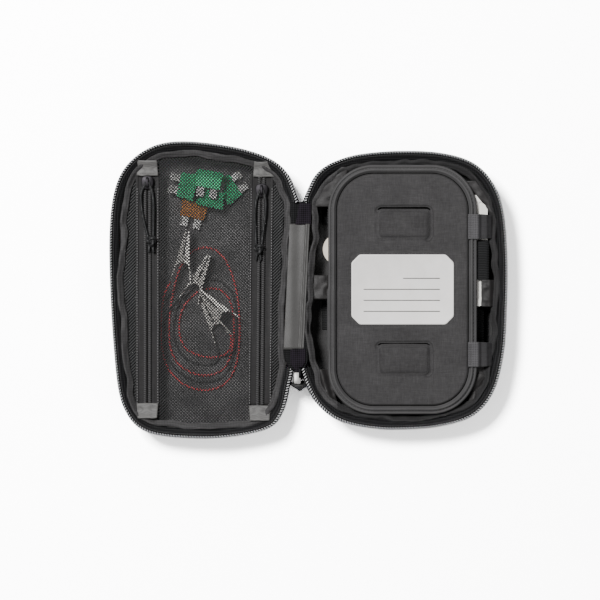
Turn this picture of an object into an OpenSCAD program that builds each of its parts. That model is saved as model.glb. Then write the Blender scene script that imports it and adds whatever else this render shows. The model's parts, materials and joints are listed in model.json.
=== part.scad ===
// Zippered tone probe kit, lying open: a soft case in two halves joined by a fabric spine.
// The left half (the lid) has a mesh pocket with two zips, blade fuses and a pair of clip leads.
// The right half (the base) has a hinged page over a tone probe and a tone generator.
// Millimetres. +Z is up, +Y runs along the spine, and the case lies flat on Z = 0.

/* [Case] */
// Width of the lid half, across the spine
lid_w = 128; // [124:0.5:134]
// Length of the lid half, along the spine
lid_l = 207; // [203:0.5:212]
// Corner radius of the lid half
lid_r = 36; // [32:1:40]
// Width of the base half, across the spine
base_w = 136; // [134:0.5:142]
// Length of the base half, along the spine
base_l = 196; // [194:0.5:204]
// Corner radius of the base half
base_r = 42; // [38:1:44]
// Height of each half, from the table to the top of its zip
half_h = 28; // [28:0.5:34]
// Width of the spine, between the two halves
spine_w = 10; // [10:0.5:14]
// Length of the grey spine panel
spine_l = 88; // [80:1:90]

/* [Page] */
// Width of the page
page_w = 104; // [100:0.5:106]
// Length of the page
page_l = 174.5; // [168:0.5:178]
// Corner radius of the page
page_r = 32; // [28:1:36]
// Distance from the spine's middle to the page's middle
page_x = 71.8; // [71:0.1:73]

/* [Mesh pocket] */
// Height of the mesh above the table
mesh_z = 19.7; // [19.7:0.1:20]
// Half the length of the pocket zips
zip_half = 81; // [76:1:84]
// Width of a pocket zip's tape
zip_tape_w = 14; // [12:0.5:16]
// Distance from the lid's middle to the left zip
zip_left_x = 38; // [37:0.5:40]
// Distance from the lid's middle to the right zip
zip_right_x = 40; // [38:0.5:41]
/* [Clip leads] */
// Diameter of a lead's insulation
lead_d = 1.4; // [1.2:0.1:1.5]
// Width of a clip's sheet metal, across its jaws
clip_w = 4.6; // [4:0.1:4.6]

/* [Blade fuses] */
// Width of a fuse's body
fuse_w = 19.1; // [19.1:0.1:19.1]
// Height of a fuse's body, without its blades
fuse_h = 12; // [12:0.5:13]
// Thickness of a fuse's body
fuse_t = 5; // [4.5:0.1:5]

/* [Devices] */
// Width of the tone probe's body
probe_w = 36; // [34:1:38]
// Radius of the volume wheel
wheel_r = 11; // [10:0.5:11.5]
// Width of the tone generator
toner_w = 50; // [46:1:50]
// Length of the tone generator
toner_l = 78; // [74:1:78]
// Thickness of each device
device_t = 18.4; // [18:0.1:18.4]

/* [Hidden] */
$fn = 48;

// Places across the case, from the spine's middle line
hinge_x = (lid_w - base_w) / 2;
lid_x = hinge_x - spine_w / 2 - lid_w / 2;
base_x = hinge_x + spine_w / 2 + base_w / 2;

// Layers of a half's wall, measured inward from its outline
skin_inset = 1;
wall_t = 2.5;
lining_t = 0.8;
wall_in = skin_inset + wall_t;
clear_in = wall_in + lining_t;

// Layers of a half's height
floor_t = 3;
inside_z = floor_t + lining_t;
gusset_top = 24;
tape_top = 27.2;
zip_start = 58;
gap = 0.2;

// Each half as [width, length, corner radius, centre across]
LID = [lid_w, lid_l, lid_r, lid_x];
BASE = [base_w, base_l, base_r, base_x];

BLACK = [0.07, 0.07, 0.075];
CHARCOAL = [0.16, 0.16, 0.165];
GREY = [0.42, 0.41, 0.4];
STEEL = [0.8, 0.79, 0.76];
WHITE = [0.86, 0.85, 0.82];
GREEN = [0.1, 0.55, 0.3];
ORANGE = [0.85, 0.42, 0.1];
RED = [0.75, 0.1, 0.12];

// ---------------------------------------------------------------- shared shapes

// A rectangle with round corners, as squares and circles, so that its arcs stay true
module rounded(w, l, r) {
    square([w - 2 * r, l], center = true);
    square([w, l - 2 * r], center = true);
    for (x = [-1, 1], y = [-1, 1])
        translate([x * (w / 2 - r), y * (l / 2 - r)]) circle(r);
}

module rounded_plate(w, l, r, h) {
    linear_extrude(h) rounded(w, l, r);
}

// The outline of a half, moved inward
module half_outline(half, inset) {
    rounded(half[0] - 2 * inset, half[1] - 2 * inset, half[2] - inset);
}

module half_plate(half, inset, low, high) {
    translate([half[3], 0, low]) linear_extrude(high - low) half_outline(half, inset);
}

// A wall round a half, between two insets
module half_ring(half, outer, inner, low, high) {
    translate([half[3], 0, low]) linear_extrude(high - low) difference() {
        half_outline(half, outer);
        half_outline(half, inner);
    }
}

// 1 if the half's spine side is at its right, -1 if at its left
function spine_side(half) = half[3] < hinge_x ? 1 : -1;

// A ring that stops on the spine side, where the halves are sewn to the spine and have no zip
module zip_ring(half, outer, inner, low, high) {
    difference() {
        half_ring(half, outer, inner, low, high);
        translate([half[3] + spine_side(half) * half[0] / 2, 0, (low + high) / 2])
            cube([20, 2 * zip_start, high - low + 2], center = true);
    }
}

// ---------------------------------------------------------------- the case's halves

module back_panel(half) {
    half_plate(half, wall_in, 0, floor_t);
}

// The wall, and the higher stretch of it that is sewn to the spine
module gusset(half) {
    half_ring(half, skin_inset, wall_in, 0, gusset_top);
    side = spine_side(half);
    edge = half[3] + side * (half[0] / 2 - skin_inset);
    translate([edge - (side > 0 ? wall_t : 0), -zip_start + 1, gusset_top])
        cube([wall_t, 2 * zip_start - 2, 3]);
}

module lining(half) {
    difference() {
        half_plate(half, wall_in, floor_t, gusset_top);
        half_plate(half, clear_in, inside_z, gusset_top + 1);
    }
}

// The bound seam that runs round the inside of the wall, under the zip
module seam_binding(half) {
    half_ring(half, clear_in, clear_in + 2, gusset_top - 3.2, gusset_top);
}

// The corded seam round the outside of the back panel
module seam_piping(half) {
    half_ring(half, 0, skin_inset, 2, 4);
}

module zip_tape(half) {
    zip_ring(half, 1.6, 2.8, gusset_top, tape_top);
}

module zip_coil(half) {
    zip_ring(half, 0.8, 3.2, tape_top, half_h);
}

// ---------------------------------------------------------------- spine

panel_z = 25.4;
patch_l = 11;
patch_y = spine_l / 2 + gap + patch_l / 2;
spine_mid = 2;

module spine_panel() {
    color(GREY)
        translate([hinge_x - spine_w / 2 + 0.4, spine_mid - spine_l / 2, panel_z])
            cube([spine_w - 0.4 + skin_inset, spine_l, 1]);
}

module spine_end_patches() {
    color(BLACK) for (side = [-1, 1])
        translate([hinge_x - spine_w / 2 + 0.4, spine_mid + side * patch_y - patch_l / 2, panel_z])
            cube([spine_w - 0.4 + skin_inset, patch_l, 1]);
}

// ---------------------------------------------------------------- main zip slider

slider_y = -58.2;
slider_l = 9.6;
bail_h = 1.7;
link_pivot = [hinge_x, slider_y - 0.8, 25.85];
link_w = 5.4;
link_l = 9.6;
link_t = 0.8;
link_bar = 1;

// A slider's two plates, the post between them and the bail that holds the pull
module slider_body(w, l, low, bail) {
    translate([0, 0, low + 0.6]) cube([w, l, 1.2], center = true);
    translate([0, 0, low + 3.4]) cube([w, l, 1.2], center = true);
    translate([0, l / 2 - 1.5, low + 2]) cube([w * 0.3, 3, 2.8], center = true);
    for (y = [-1, 1])
        translate([0, y * (l / 2 - 1.4), low + 4 + bail / 2]) cube([1.6, 1.2, bail], center = true);
    translate([0, 0, low + 4.5 + bail]) cube([1.6, l - 1.6, 1], center = true);
}

module main_zip_slider() {
    color(STEEL) translate([hinge_x, slider_y, 0]) slider_body(8, slider_l, 21, bail_h);
}

// The metal link that hangs on the bail, lying flat, with a slot for the bail and a slot for the cord
module main_pull_link() {
    slot_w = link_w - 2 * 1.4;
    color(STEEL) translate(link_pivot - [0, 0, link_t / 2]) linear_extrude(link_t) difference() {
        translate([0, link_bar / 2 - link_l / 2]) rounded(link_w, link_l, 0.5);
        translate([0, -link_bar / 2 - 2]) square([slot_w, 4], center = true);
        translate([0, -link_l + link_bar * 1.5 + 1.3]) square([slot_w, 2.6], center = true);
    }
}

// The loop of cord that hangs from the link's far end, and its knot
pull_cord_r = 0.8;
cord_pivot = link_pivot - [0, link_l - link_bar, 0];
knot_r = 3.4;

module main_pull_cord() {
    hang = 15;
    color(BLACK) translate(cord_pivot) {
        for (side = [-1, 1]) {
            translate([0, side * (link_bar / 2 + 0.3 + pull_cord_r), -hang])
                cylinder(h = hang + link_t / 2 + 0.1 + pull_cord_r, r = pull_cord_r);
            translate([0, side * (link_bar / 2 + 0.3 + pull_cord_r), link_t / 2 + 0.1 + pull_cord_r])
                sphere(r = pull_cord_r, $fn = 24);
        }
        translate([0, 0, link_t / 2 + 0.1 + pull_cord_r]) rotate([90, 0, 0])
            cylinder(h = link_bar + 0.6 + 2 * pull_cord_r, r = pull_cord_r, center = true);
        translate([0, 0, -hang - 5]) cylinder(h = 5.5, r = knot_r);
    }
}

// ---------------------------------------------------------------- elastic loops in the base

loop_t = 1.2;
device_z = 4.2;
device_top = device_z + device_t;
probe_x = hinge_x + 20.8 + probe_w / 2;
toner_x = hinge_x + 131.5 - toner_w / 2;
toner_y = 27.3;

// One elastic strap: flat on the floor, up, across the top and down again
module elastic_loop(x, w, top, y_low, y_high, foot) {
    translate([x, y_high, 0]) rotate([90, 0, 0]) linear_extrude(y_high - y_low) difference() {
        union() {
            translate([-w / 2 - loop_t - 0.2, inside_z])
                square([w + 2 * loop_t + 0.4, top + loop_t - inside_z]);
            translate([-w / 2 - foot, inside_z]) square([w + 2 * foot, loop_t]);
        }
        translate([-w / 2 - 0.2, inside_z - 1]) square([w + 0.4, top - inside_z + 1]);
    }
}

module elastic_loops_left() {
    color(BLACK) {
        elastic_loop(probe_x, probe_w, device_top + gap, 46, 66, 5);
        elastic_loop(probe_x, probe_w, device_top + gap, -28, -8, 5);
    }
}

spare_loop_top = 13;

module elastic_loops_right() {
    color(BLACK) {
        elastic_loop(toner_x, toner_w, device_top + gap, 6.6, 34.6, 1.5);
        elastic_loop(toner_x, toner_w - 6, spare_loop_top, -38, -14, 4.5);
    }
}

// ---------------------------------------------------------------- page

page_z = 24.3;
page_mid = hinge_x + page_x;
page_edge = page_mid + page_w / 2;
binding_w = 5.4;
pivot_x = hinge_x + 130;
pivot_z = 26;
tab_w = 17;
tab_y = [44, -45.5];
tab_clear = 1.5;

module page_ring(outer, inner, low, high) {
    translate([page_mid, 0, low]) linear_extrude(high - low) difference() {
        rounded(page_w - 2 * outer, page_l - 2 * outer, page_r - outer);
        rounded(page_w - 2 * inner, page_l - 2 * inner, page_r - inner);
    }
}

// The stiff board inside the page
module page_board() {
    color(BLACK) translate([page_mid, 0, page_z])
        rounded_plate(page_w - 2 * binding_w, page_l - 2 * binding_w, page_r - binding_w, 1.4);
}

emboss_w = 38;
emboss_l = 22;
emboss_y = 48;
label_w = 71.6;
label_l = 49;
cover_top = page_z + 2.6;

// The moulded cover, with two raised pads and a flat recess for the label
module page_cover() {
    color(CHARCOAL) translate([page_mid, 0, 0]) {
        translate([0, 0, page_z + 1.4])
            rounded_plate(page_w - 2 * binding_w, page_l - 2 * binding_w, page_r - binding_w, 1.2);
        for (side = [-1, 1])
            translate([1, side * emboss_y - 0.8, cover_top]) rounded_plate(emboss_w, emboss_l, 2, 0.6);
    }
}

module page_binding() {
    color(CHARCOAL) page_ring(0, binding_w, page_z, page_z + 3.2);
}

// The paper label, a rectangle with its corners cut off
module page_label() {
    cut = 5.6;
    x = label_w / 2;
    y = label_l / 2;
    color(WHITE) translate([page_mid, 0, cover_top]) linear_extrude(0.3) polygon([
        [-x + cut, -y], [x - cut, -y], [x, -y + cut], [x, y - cut],
        [x - cut, y], [-x + cut, y], [-x, y - cut], [-x, -y + cut]
    ]);
}

// The page's ends of its two webbing hinges
module page_hinge_tabs() {
    color(BLACK) for (y = tab_y)
        translate([page_edge, y - tab_w / 2, pivot_z - 0.4])
            cube([pivot_x - tab_clear - page_edge, tab_w, 0.8]);
}

// The ends that are sewn to the base's wall
module page_hinge_anchors() {
    wall_x = base_x + base_w / 2 - wall_in;
    color(BLACK) for (y = tab_y) {
        translate([pivot_x + tab_clear, y - tab_w / 2, pivot_z - 0.4])
            cube([wall_x - 0.2 - pivot_x - tab_clear, tab_w, 0.8]);
        translate([wall_x - 1.4, y - tab_w / 2, gusset_top])
            cube([1.2, tab_w, pivot_z - 0.4 - gusset_top]);
    }
}

// ---------------------------------------------------------------- tone probe

shell_t = 1.6;
split_z = device_z + device_t / 2;
probe_top_y = 76;
probe_low_y = -30;
neck_y = -45;
tip_r = 4;
tip_end = -86;
wheel_x = hinge_x + 27.1;
wheel_y = 28.3;
wheel_z = 11.4;
wheel_t = 4;
axle_r = 1.4;
button_r = 5;
button_y = 12;
led_r = 1.5;
probe_led_y = 0;
probe_screws = [[0, 70], [0, -36]];

// The body's outline from above: a rounded bar that narrows to a neck
module probe_outline(inset) {
    w = probe_w - 2 * inset;
    r = 10 - inset;
    translate([0, (probe_top_y + probe_low_y) / 2]) rounded(w, probe_top_y - probe_low_y - 2 * inset, r);
    polygon([
        [-w / 2, probe_low_y + 14], [-w / 2, probe_low_y + 8], [-7.5 + inset, neck_y + inset],
        [7.5 - inset, neck_y + inset], [w / 2, probe_low_y + 8], [w / 2, probe_low_y + 14]
    ]);
}

// A post with a hole for a screw
module screw_post(x, y, low, high, hole) {
    translate([x, y, low]) difference() {
        cylinder(h = high - low, r = 3);
        translate([0, 0, -1]) cylinder(h = high - low + 2, r = hole);
    }
}

module probe_half(low, high, inner_low, inner_high, hole) {
    translate([probe_x, 0, 0]) {
        difference() {
            translate([0, 0, low]) linear_extrude(high - low) probe_outline(0);
            translate([0, 0, inner_low]) linear_extrude(inner_high - inner_low) probe_outline(shell_t);
            translate([wheel_x - probe_x, wheel_y, wheel_z - 0.3])
                cylinder(h = wheel_t + 0.6, r = wheel_r + 0.4);
            translate([0, neck_y + 6, split_z]) rotate([90, 0, 0]) cylinder(h = 10, r = tip_r + 0.05);
            for (s = probe_screws) translate([s[0], s[1], low - 1]) cylinder(h = high - low + 2, r = hole);
            children();
        }
        for (s = probe_screws) screw_post(s[0], s[1], inner_low, inner_high, hole);
    }
}

screw_r = 0.95;
screw_head_r = 1.9;
screw_head_h = 1.3;

module probe_rear_shell() {
    color(WHITE) difference() {
        union() {
            probe_half(device_z, split_z, device_z + shell_t, split_z, screw_r + 0.15);
            translate([wheel_x, wheel_y, device_z + 1])
                cylinder(h = split_z - device_z - 1 - 0.05, r = axle_r);
        }
        for (s = probe_screws)
            translate([probe_x + s[0], s[1], device_z - 1])
                cylinder(h = 1 + screw_head_h + 0.1, r = screw_head_r + 0.1);
    }
}

module probe_front_shell() {
    color(WHITE) difference() {
        union() {
            difference() {
                probe_half(split_z, device_top, split_z, device_top - shell_t, screw_r + 0.05)
                    translate([0, button_y, device_top - 3]) cylinder(h = 4, r = button_r + 0.1);
                translate([probe_x, probe_led_y, device_top - 3]) cylinder(h = 4, r = led_r + 0.05);
            }
            for (s = probe_screws)
                translate([probe_x + s[0], s[1], device_top - shell_t - 0.2])
                    cylinder(h = shell_t + 0.2, r = 3);
            translate([wheel_x, wheel_y, split_z + 0.05])
                cylinder(h = device_top - 1 - split_z, r = axle_r);
        }
    }
}

module probe_tip() {
    color(BLACK) translate([probe_x, 0, split_z]) rotate([90, 0, 0]) {
        translate([0, 0, -neck_y - 5.8]) cylinder(h = 31, r = tip_r);
        translate([0, 0, -neck_y + 25.2]) cylinder(h = -tip_end + neck_y - 25.2, r1 = tip_r, r2 = 1.6);
    }
}

module probe_button() {
    color(BLACK) translate([probe_x, button_y, device_top - 3]) {
        cylinder(h = 4, r = button_r);
        cylinder(h = 0.8, r = button_r + 0.8);
    }
}

module probe_volume_wheel() {
    color(WHITE) translate([wheel_x, wheel_y, wheel_z]) difference() {
        cylinder(h = wheel_t, r = wheel_r);
        translate([0, 0, -1]) cylinder(h = wheel_t + 2, r = axle_r + 0.06);
    }
}

// ---------------------------------------------------------------- tone generator

toner_r = 7;
switch_y = -3;
switch_travel = 4;
toner_led_y = 52;
toner_screws = [[-20, 33], [20, 33], [-20, -33], [20, -33]];

module toner_half(low, high, inner_low, inner_high, hole) {
    translate([toner_x, toner_y, 0]) {
        difference() {
            translate([0, 0, low]) rounded_plate(toner_w, toner_l, toner_r, high - low);
            translate([0, 0, inner_low])
                rounded_plate(
                    toner_w - 2 * shell_t, toner_l - 2 * shell_t, toner_r - shell_t, inner_high - inner_low
                );
            for (s = toner_screws) translate([s[0], s[1], low - 1]) cylinder(h = high - low + 2, r = hole);
            for (x = [-1, 1]) translate([x * 10, toner_l / 2 + 1, split_z]) rotate([90, 0, 0])
                cylinder(h = 10, r = 1.55);
        }
        for (s = toner_screws) screw_post(s[0], s[1], inner_low, inner_high, hole);
    }
}

module toner_rear_shell() {
    color(WHITE) difference() {
        toner_half(device_z, split_z, device_z + shell_t, split_z, screw_r + 0.15);
        for (s = toner_screws) translate([toner_x + s[0], toner_y + s[1], device_z - 1])
            cylinder(h = 1 + screw_head_h + 0.1, r = screw_head_r + 0.1);
    }
}

// The front shell's raised rim stands round a panel that is 0.8 lower
module toner_front_shell() {
    color(WHITE) difference() {
        union() {
            toner_half(split_z, device_top, split_z, device_top - 2.4, screw_r + 0.05);
            for (s = toner_screws) translate([toner_x + s[0], toner_y + s[1], device_top - 2.6])
                cylinder(h = 1.6, r = 3);
        }
        translate([toner_x, toner_y, device_top - 0.8]) rounded_plate(toner_w - 9, toner_l - 9, 4, 1);
        translate([toner_x, toner_led_y, device_top - 4]) cylinder(h = 5, r = led_r + 0.05);
        translate([toner_x, switch_y, device_top - 2])
            cube([4.4, 6 + switch_travel + 0.6, 6], center = true);
    }
}

module toner_switch() {
    color(BLACK) translate([toner_x, switch_y - switch_travel / 2, device_top - 1.5]) {
        cube([4, 6, 3], center = true);
        translate([0, 0, -1.9]) cube([6, 6, 0.8], center = true);
    }
}

module toner_terminals() {
    color(STEEL) for (x = [-1, 1])
        translate([toner_x + x * 10, toner_y + toner_l / 2 + 4.5, split_z])
            rotate([90, 0, 0]) cylinder(h = 10, r = 1.5);
}

// ---------------------------------------------------------------- what the two devices share

board_z = 17;
cell_r = 5.25;
cell_l = 44.5;

module circuit_boards() {
    color([0.05, 0.3, 0.15]) {
        translate([probe_x - 15, -6, board_z]) difference() {
            cube([30, 44, 1.2]);
            translate([wheel_x - probe_x + 15, wheel_y + 6, -1]) cylinder(h = 4, r = 2);
        }
        translate([toner_x - 15, toner_y - 28, board_z - 0.6]) cube([30, 60, 1.2]);
    }
}

// One dry cell, lying along Y, with its button end at the top
module cell(x, y, z) {
    translate([x, y, z]) rotate([-90, 0, 0]) {
        cylinder(h = cell_l - 1, r = cell_r);
        translate([0, 0, cell_l - 1]) cylinder(h = 1, r = 1.9);
    }
}

module batteries() {
    cell_z = device_z + shell_t + 0.1 + cell_r;
    color(BLACK) for (side = [-1, 1]) {
        cell(probe_x + side * (cell_r + 0.15), -27, cell_z);
        cell(toner_x + side * (cell_r + 0.15), toner_y - 24, cell_z - 0.05);
    }
}

module status_leds() {
    color(RED) {
        translate([probe_x, probe_led_y, board_z + 1.2]) cylinder(h = device_top - board_z - 0.9, r = led_r);
        translate([toner_x, toner_led_y, board_z + 0.6]) cylinder(h = device_top - board_z - 1.2, r = led_r);
    }
}

module screw(x, y) {
    translate([x, y, device_z + 0.1]) {
        cylinder(h = screw_head_h, r = screw_head_r);
        cylinder(h = device_t - 5, r = screw_r);
    }
}

module shell_screws() {
    color(STEEL) {
        for (s = probe_screws) screw(probe_x + s[0], s[1]);
        for (s = toner_screws) screw(toner_x + s[0], toner_y + s[1]);
    }
}

// ---------------------------------------------------------------- mesh pocket

mesh_t = 0.6;
tape_z = mesh_z + mesh_t;
tape_t = 0.7;
coil_t = 1.2;
pocket_in = clear_in + 0.7;
zip_x = [lid_x - zip_left_x, lid_x + zip_right_x];

// The part of the lid's inside that lies between two distances from its middle
module pocket_slice(x_low, x_high, low, high) {
    intersection() {
        half_plate(LID, pocket_in, low, high);
        translate([lid_x + x_low, -lid_l / 2, low - 1]) cube([x_high - x_low, lid_l, high - low + 2]);
    }
}

inner_left = -zip_left_x + zip_tape_w / 2;
inner_right = zip_right_x - zip_tape_w / 2;

module mesh_panel() {
    color(BLACK) pocket_slice(inner_left - 4, inner_right + 4, mesh_z, mesh_z + mesh_t);
}

module mesh_side_panels() {
    color(BLACK) {
        pocket_slice(-lid_w / 2, inner_left - zip_tape_w + 4, mesh_z, mesh_z + mesh_t);
        pocket_slice(inner_right + zip_tape_w - 4, lid_w / 2, mesh_z, mesh_z + mesh_t);
    }
}

// Each zip's two tapes, with a fine gap between them under the coils
module pocket_zip_tapes() {
    color(CHARCOAL) for (x = zip_x, side = [-1, 1])
        translate([x + side * (zip_tape_w / 4 + 0.1) - zip_tape_w / 4 + 0.1, -zip_half, tape_z])
            cube([zip_tape_w / 2 - 0.2, 2 * zip_half, tape_t]);
}

module pocket_zip_coils() {
    color(BLACK) for (x = zip_x, side = [-1, 1])
        translate([x + side * 1.1 - 1, -zip_half, tape_z + tape_t]) cube([2, 2 * zip_half, coil_t]);
}

// The grey tabs that cover the ends of the pocket zips
module zip_end_tabs() {
    color(GREY) for (x = zip_x, side = [-1, 1])
        translate([x, side * (zip_half + gap + 4.25), tape_z + 0.5])
            cube([zip_tape_w, 8.5, 1], center = true);
}

coil_top = tape_z + tape_t + coil_t;
pocket_slider_y = [75, 69.5];
pull_pivot_z = coil_top + 2.1;
pull_l = 45;
strand = 1.2;
pull_knot_r = 2.6;

// A pocket zip's slider: a plate over the coils, and the arch that holds its pull
module pocket_slider(side) {
    color(STEEL) translate([zip_x[side], pocket_slider_y[side], 0]) {
        translate([0, 0, coil_top + 0.7]) cube([6.4, 8.4, 1], center = true);
        for (y = [-2.8, 2.4])
            translate([0, y, coil_top + 2.1]) cube([1.6, 1.2, 1.8], center = true);
        translate([0, -0.2, coil_top + 3.3]) cube([1.6, 6.4, 0.6], center = true);
    }
}

module pocket_slider_left() { pocket_slider(0); }

module pocket_slider_right() { pocket_slider(1); }

// A pull: a loop of cord through the arch, whose two strands end in a knot
module pull_cord(side) {
    color(BLACK) translate([zip_x[side], pocket_slider_y[side], pull_pivot_z]) {
        translate([0, 0, -strand / 2]) linear_extrude(strand) {
            square([2 * strand + 2.4, strand], center = true);
            for (leg = [-1, 1]) translate([leg * (1.2 + strand / 2) - strand / 2, -pull_l])
                square([strand, pull_l]);
        }
        translate([0, -pull_l, pull_knot_r + 0.3 - 2.1]) sphere(r = pull_knot_r);
    }
}

module pull_cord_left() { pull_cord(0); }

module pull_cord_right() { pull_cord(1); }

// ---------------------------------------------------------------- blade fuses

// Each as [across from the spine's middle, along, height of its underside, direction of its blades]
layer = fuse_t + 0.15;
fuse_z = inside_z + 0.1;
GREEN_FUSES = [
    [-79.5, 73, fuse_z + layer, 168],
    [-63.9, 77.5, fuse_z + 2 * layer, -100],
    [-62.8, 64, fuse_z + layer, 78],
    [-50.6, 71, fuse_z, 32]
];
ORANGE_FUSE = [-74.9, 56.6, fuse_z, -104];
blade_w = 5.2;
blade_t = 0.65;
blade_x = 4.6;
blade_l = 7;

// Puts its children in a fuse's own frame: blades point along +X, the body's middle is at 0
module at_fuse(f) {
    translate([hinge_x + f[0], f[1], f[2]]) rotate([0, 0, f[3]]) children();
}

// The body is waisted, with a window over the element and slots for the blades
module fuse_body(f) {
    at_fuse(f) difference() {
        union() {
            translate([-fuse_h / 2, -fuse_w / 2, 0]) cube([4, fuse_w, fuse_t]);
            translate([-fuse_h / 2 + 4, -fuse_w / 2 + 0.8, 0.6])
                cube([fuse_h - 4, fuse_w - 1.6, fuse_t - 1.2]);
        }
        translate([-fuse_h / 2 + 1.4, -blade_x - blade_w / 2 - 0.1, fuse_t / 2 - blade_t / 2 - 0.1])
            cube([fuse_h, 2 * blade_x + blade_w + 0.2, blade_t + 0.2]);
    }
}

// Two blades and the curved link that melts
module fuse_element(f) {
    at_fuse(f) translate([0, 0, fuse_t / 2 - blade_t / 2]) linear_extrude(blade_t) {
        for (side = [-1, 1])
            translate([-fuse_h / 2 + 1.6, side * blade_x - blade_w / 2])
                square([fuse_h - 1.6 + blade_l, blade_w]);
        difference() {
            translate([-1, 0]) circle(r = 3.4);
            translate([-1, 0]) circle(r = 2.2);
            translate([-1, -4]) square([8, 8]);
        }
    }
}

module fuse_green_bodies() {
    color(GREEN) for (f = GREEN_FUSES) fuse_body(f);
}

module fuse_orange_body() {
    color(ORANGE) fuse_body(ORANGE_FUSE);
}

module fuse_elements() {
    color(STEEL) for (f = concat(GREEN_FUSES, [ORANGE_FUSE])) fuse_element(f);
}

// ---------------------------------------------------------------- alligator clips

// Each as [pivot across from the spine's middle, along, layer above the floor, direction of its nose]
clip_z = inside_z + 0.15;
clip_layer = clip_w + 0.5;
CLIPS = [
    [-56.7, -14.5, 2, 135],
    [-61.2, -22, 0, 119],
    [-72, 6.6, 1, 66],
    [-81.8, 22.2, 2, 82]
];
nose_x = 20;
tail_x = -16;
sheet_t = 0.7;
ear_t = 0.5;
clip_pin_r = 0.8;

// Puts its children in a clip's own frame: nose along +X, pin along Z at 0, moving jaw at -Y
module at_clip(c) {
    translate([hinge_x + c[0], c[1], clip_z + clip_layer * c[2] + clip_w / 2 + 0.2]) rotate([0, 0, c[3]])
        children();
}

// The bent strip of a jaw and its handle, above the jaw line, as a closed outline
module jaw_strip() {
    back = [[nose_x, 1.2], [12, 2.6], [0, 4.4], [-6, 5.2], [tail_x, 7.4]];
    polygon(concat([[nose_x, 0.4]], back, [for (i = [4:-1:1]) back[i] - [0, sheet_t]]));
}

// The side plate of a jaw, with teeth along the jaw line and an ear round the pin
module jaw_side(hole) {
    difference() {
        union() {
            polygon(concat(
                [[nose_x - 0.4, 0.9], [12, 2.3], [0, 4.1], [-5, 4.8], [-3, 0.3]],
                [for (i = [0:7]) each [[6 + i * 1.6, 0.8], [6.8 + i * 1.6, 0.2]]]
            ));
            circle(r = 2.4);
        }
        circle(r = hole);
    }
}

// A jaw of a given outside width, whose side plates stand on the edges of its strip
module jaw(w, hole) {
    translate([0, 0, -w / 2]) linear_extrude(w) jaw_strip();
    for (z = [-w / 2, w / 2 - ear_t]) translate([0, 0, z]) linear_extrude(ear_t) jaw_side(hole);
}

inner_w = clip_w - 2 * ear_t - 0.4;

module clip_fixed_jaws() {
    color(STEEL) for (c = CLIPS) at_clip(c) jaw(clip_w, clip_pin_r + 0.05);
}

// The moving jaw is the narrower one, mirrored over the jaw line
module moving_jaw(c) {
    color(STEEL) at_clip(c) mirror([0, 1, 0]) jaw(inner_w, clip_pin_r + 0.05);
}

module clip_a_jaw() { moving_jaw(CLIPS[0]); }

module clip_b_jaw() { moving_jaw(CLIPS[1]); }

module clip_c_jaw() { moving_jaw(CLIPS[2]); }

module clip_d_jaw() { moving_jaw(CLIPS[3]); }

module clip_pins_and_springs() {
    color(STEEL) for (c = CLIPS) at_clip(c) {
        cylinder(h = clip_w + 0.4, r = clip_pin_r, center = true);
        difference() {
            cylinder(h = inner_w - 2 * ear_t - 0.4, r = 1.7, center = true);
            cylinder(h = inner_w, r = clip_pin_r + 0.1, center = true);
        }
    }
}

// ---------------------------------------------------------------- leads

// Each point is [across from the spine's middle, along, height]. The leads lie on the lining, in loops
// under the upper clips, and rise to the clips at their ends.
lead_z = inside_z + 0.1 + lead_d / 2;
RED_POINTS = [
    [-49.2, -31.3, 16.4], [-48, -35.4, 15.6], [-48.4, -40.4, 12.4], [-51.4, -45, 8.2],
    [-56.4, -47.6, lead_z], [-63.6, -48.4, lead_z], [-72, -46.6, lead_z], [-79.6, -43.4, lead_z],
    [-84.6, -36.4, lead_z], [-86.2, -26.6, lead_z], [-84.4, -16, lead_z], [-79.4, -6.6, lead_z],
    [-71.4, -0.6, lead_z], [-62.6, 1.6, lead_z], [-54, -0.4, lead_z], [-47.4, -6.6, lead_z],
    [-44.4, -16, lead_z], [-43.6, -28, lead_z], [-44.8, -41.4, lead_z], [-49.4, -53, lead_z],
    [-57.6, -59.4, lead_z], [-67, -61.4, lead_z], [-77, -59.4, lead_z], [-86, -53.4, lead_z],
    [-91.4, -44.6, lead_z], [-93, -33, lead_z], [-92.4, -18, lead_z], [-90, -2, lead_z],
    [-86.8, 11, lead_z], [-82, 22, lead_z], [-75, 28.6, lead_z], [-66, 30.6, lead_z],
    [-57.4, 27.4, lead_z], [-51.4, 19.6, lead_z], [-46.6, 9, lead_z], [-41.6, -3, lead_z],
    [-38.6, -17, lead_z], [-38, -33, lead_z], [-40, -48, lead_z], [-45.6, -61, lead_z],
    [-55.4, -69.2, lead_z], [-67, -72, lead_z], [-78.4, -69.6, lead_z], [-89, -62.8, lead_z],
    [-96, -52, lead_z], [-98.4, -39, lead_z], [-98.6, -25, lead_z], [-98, -14, 5.6],
    [-96.6, -5.6, 9], [-94.2, 0.6, 13.4], [-91.8, 3.6, 16], [-91.2, 5.6, 16.4]
];
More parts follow.
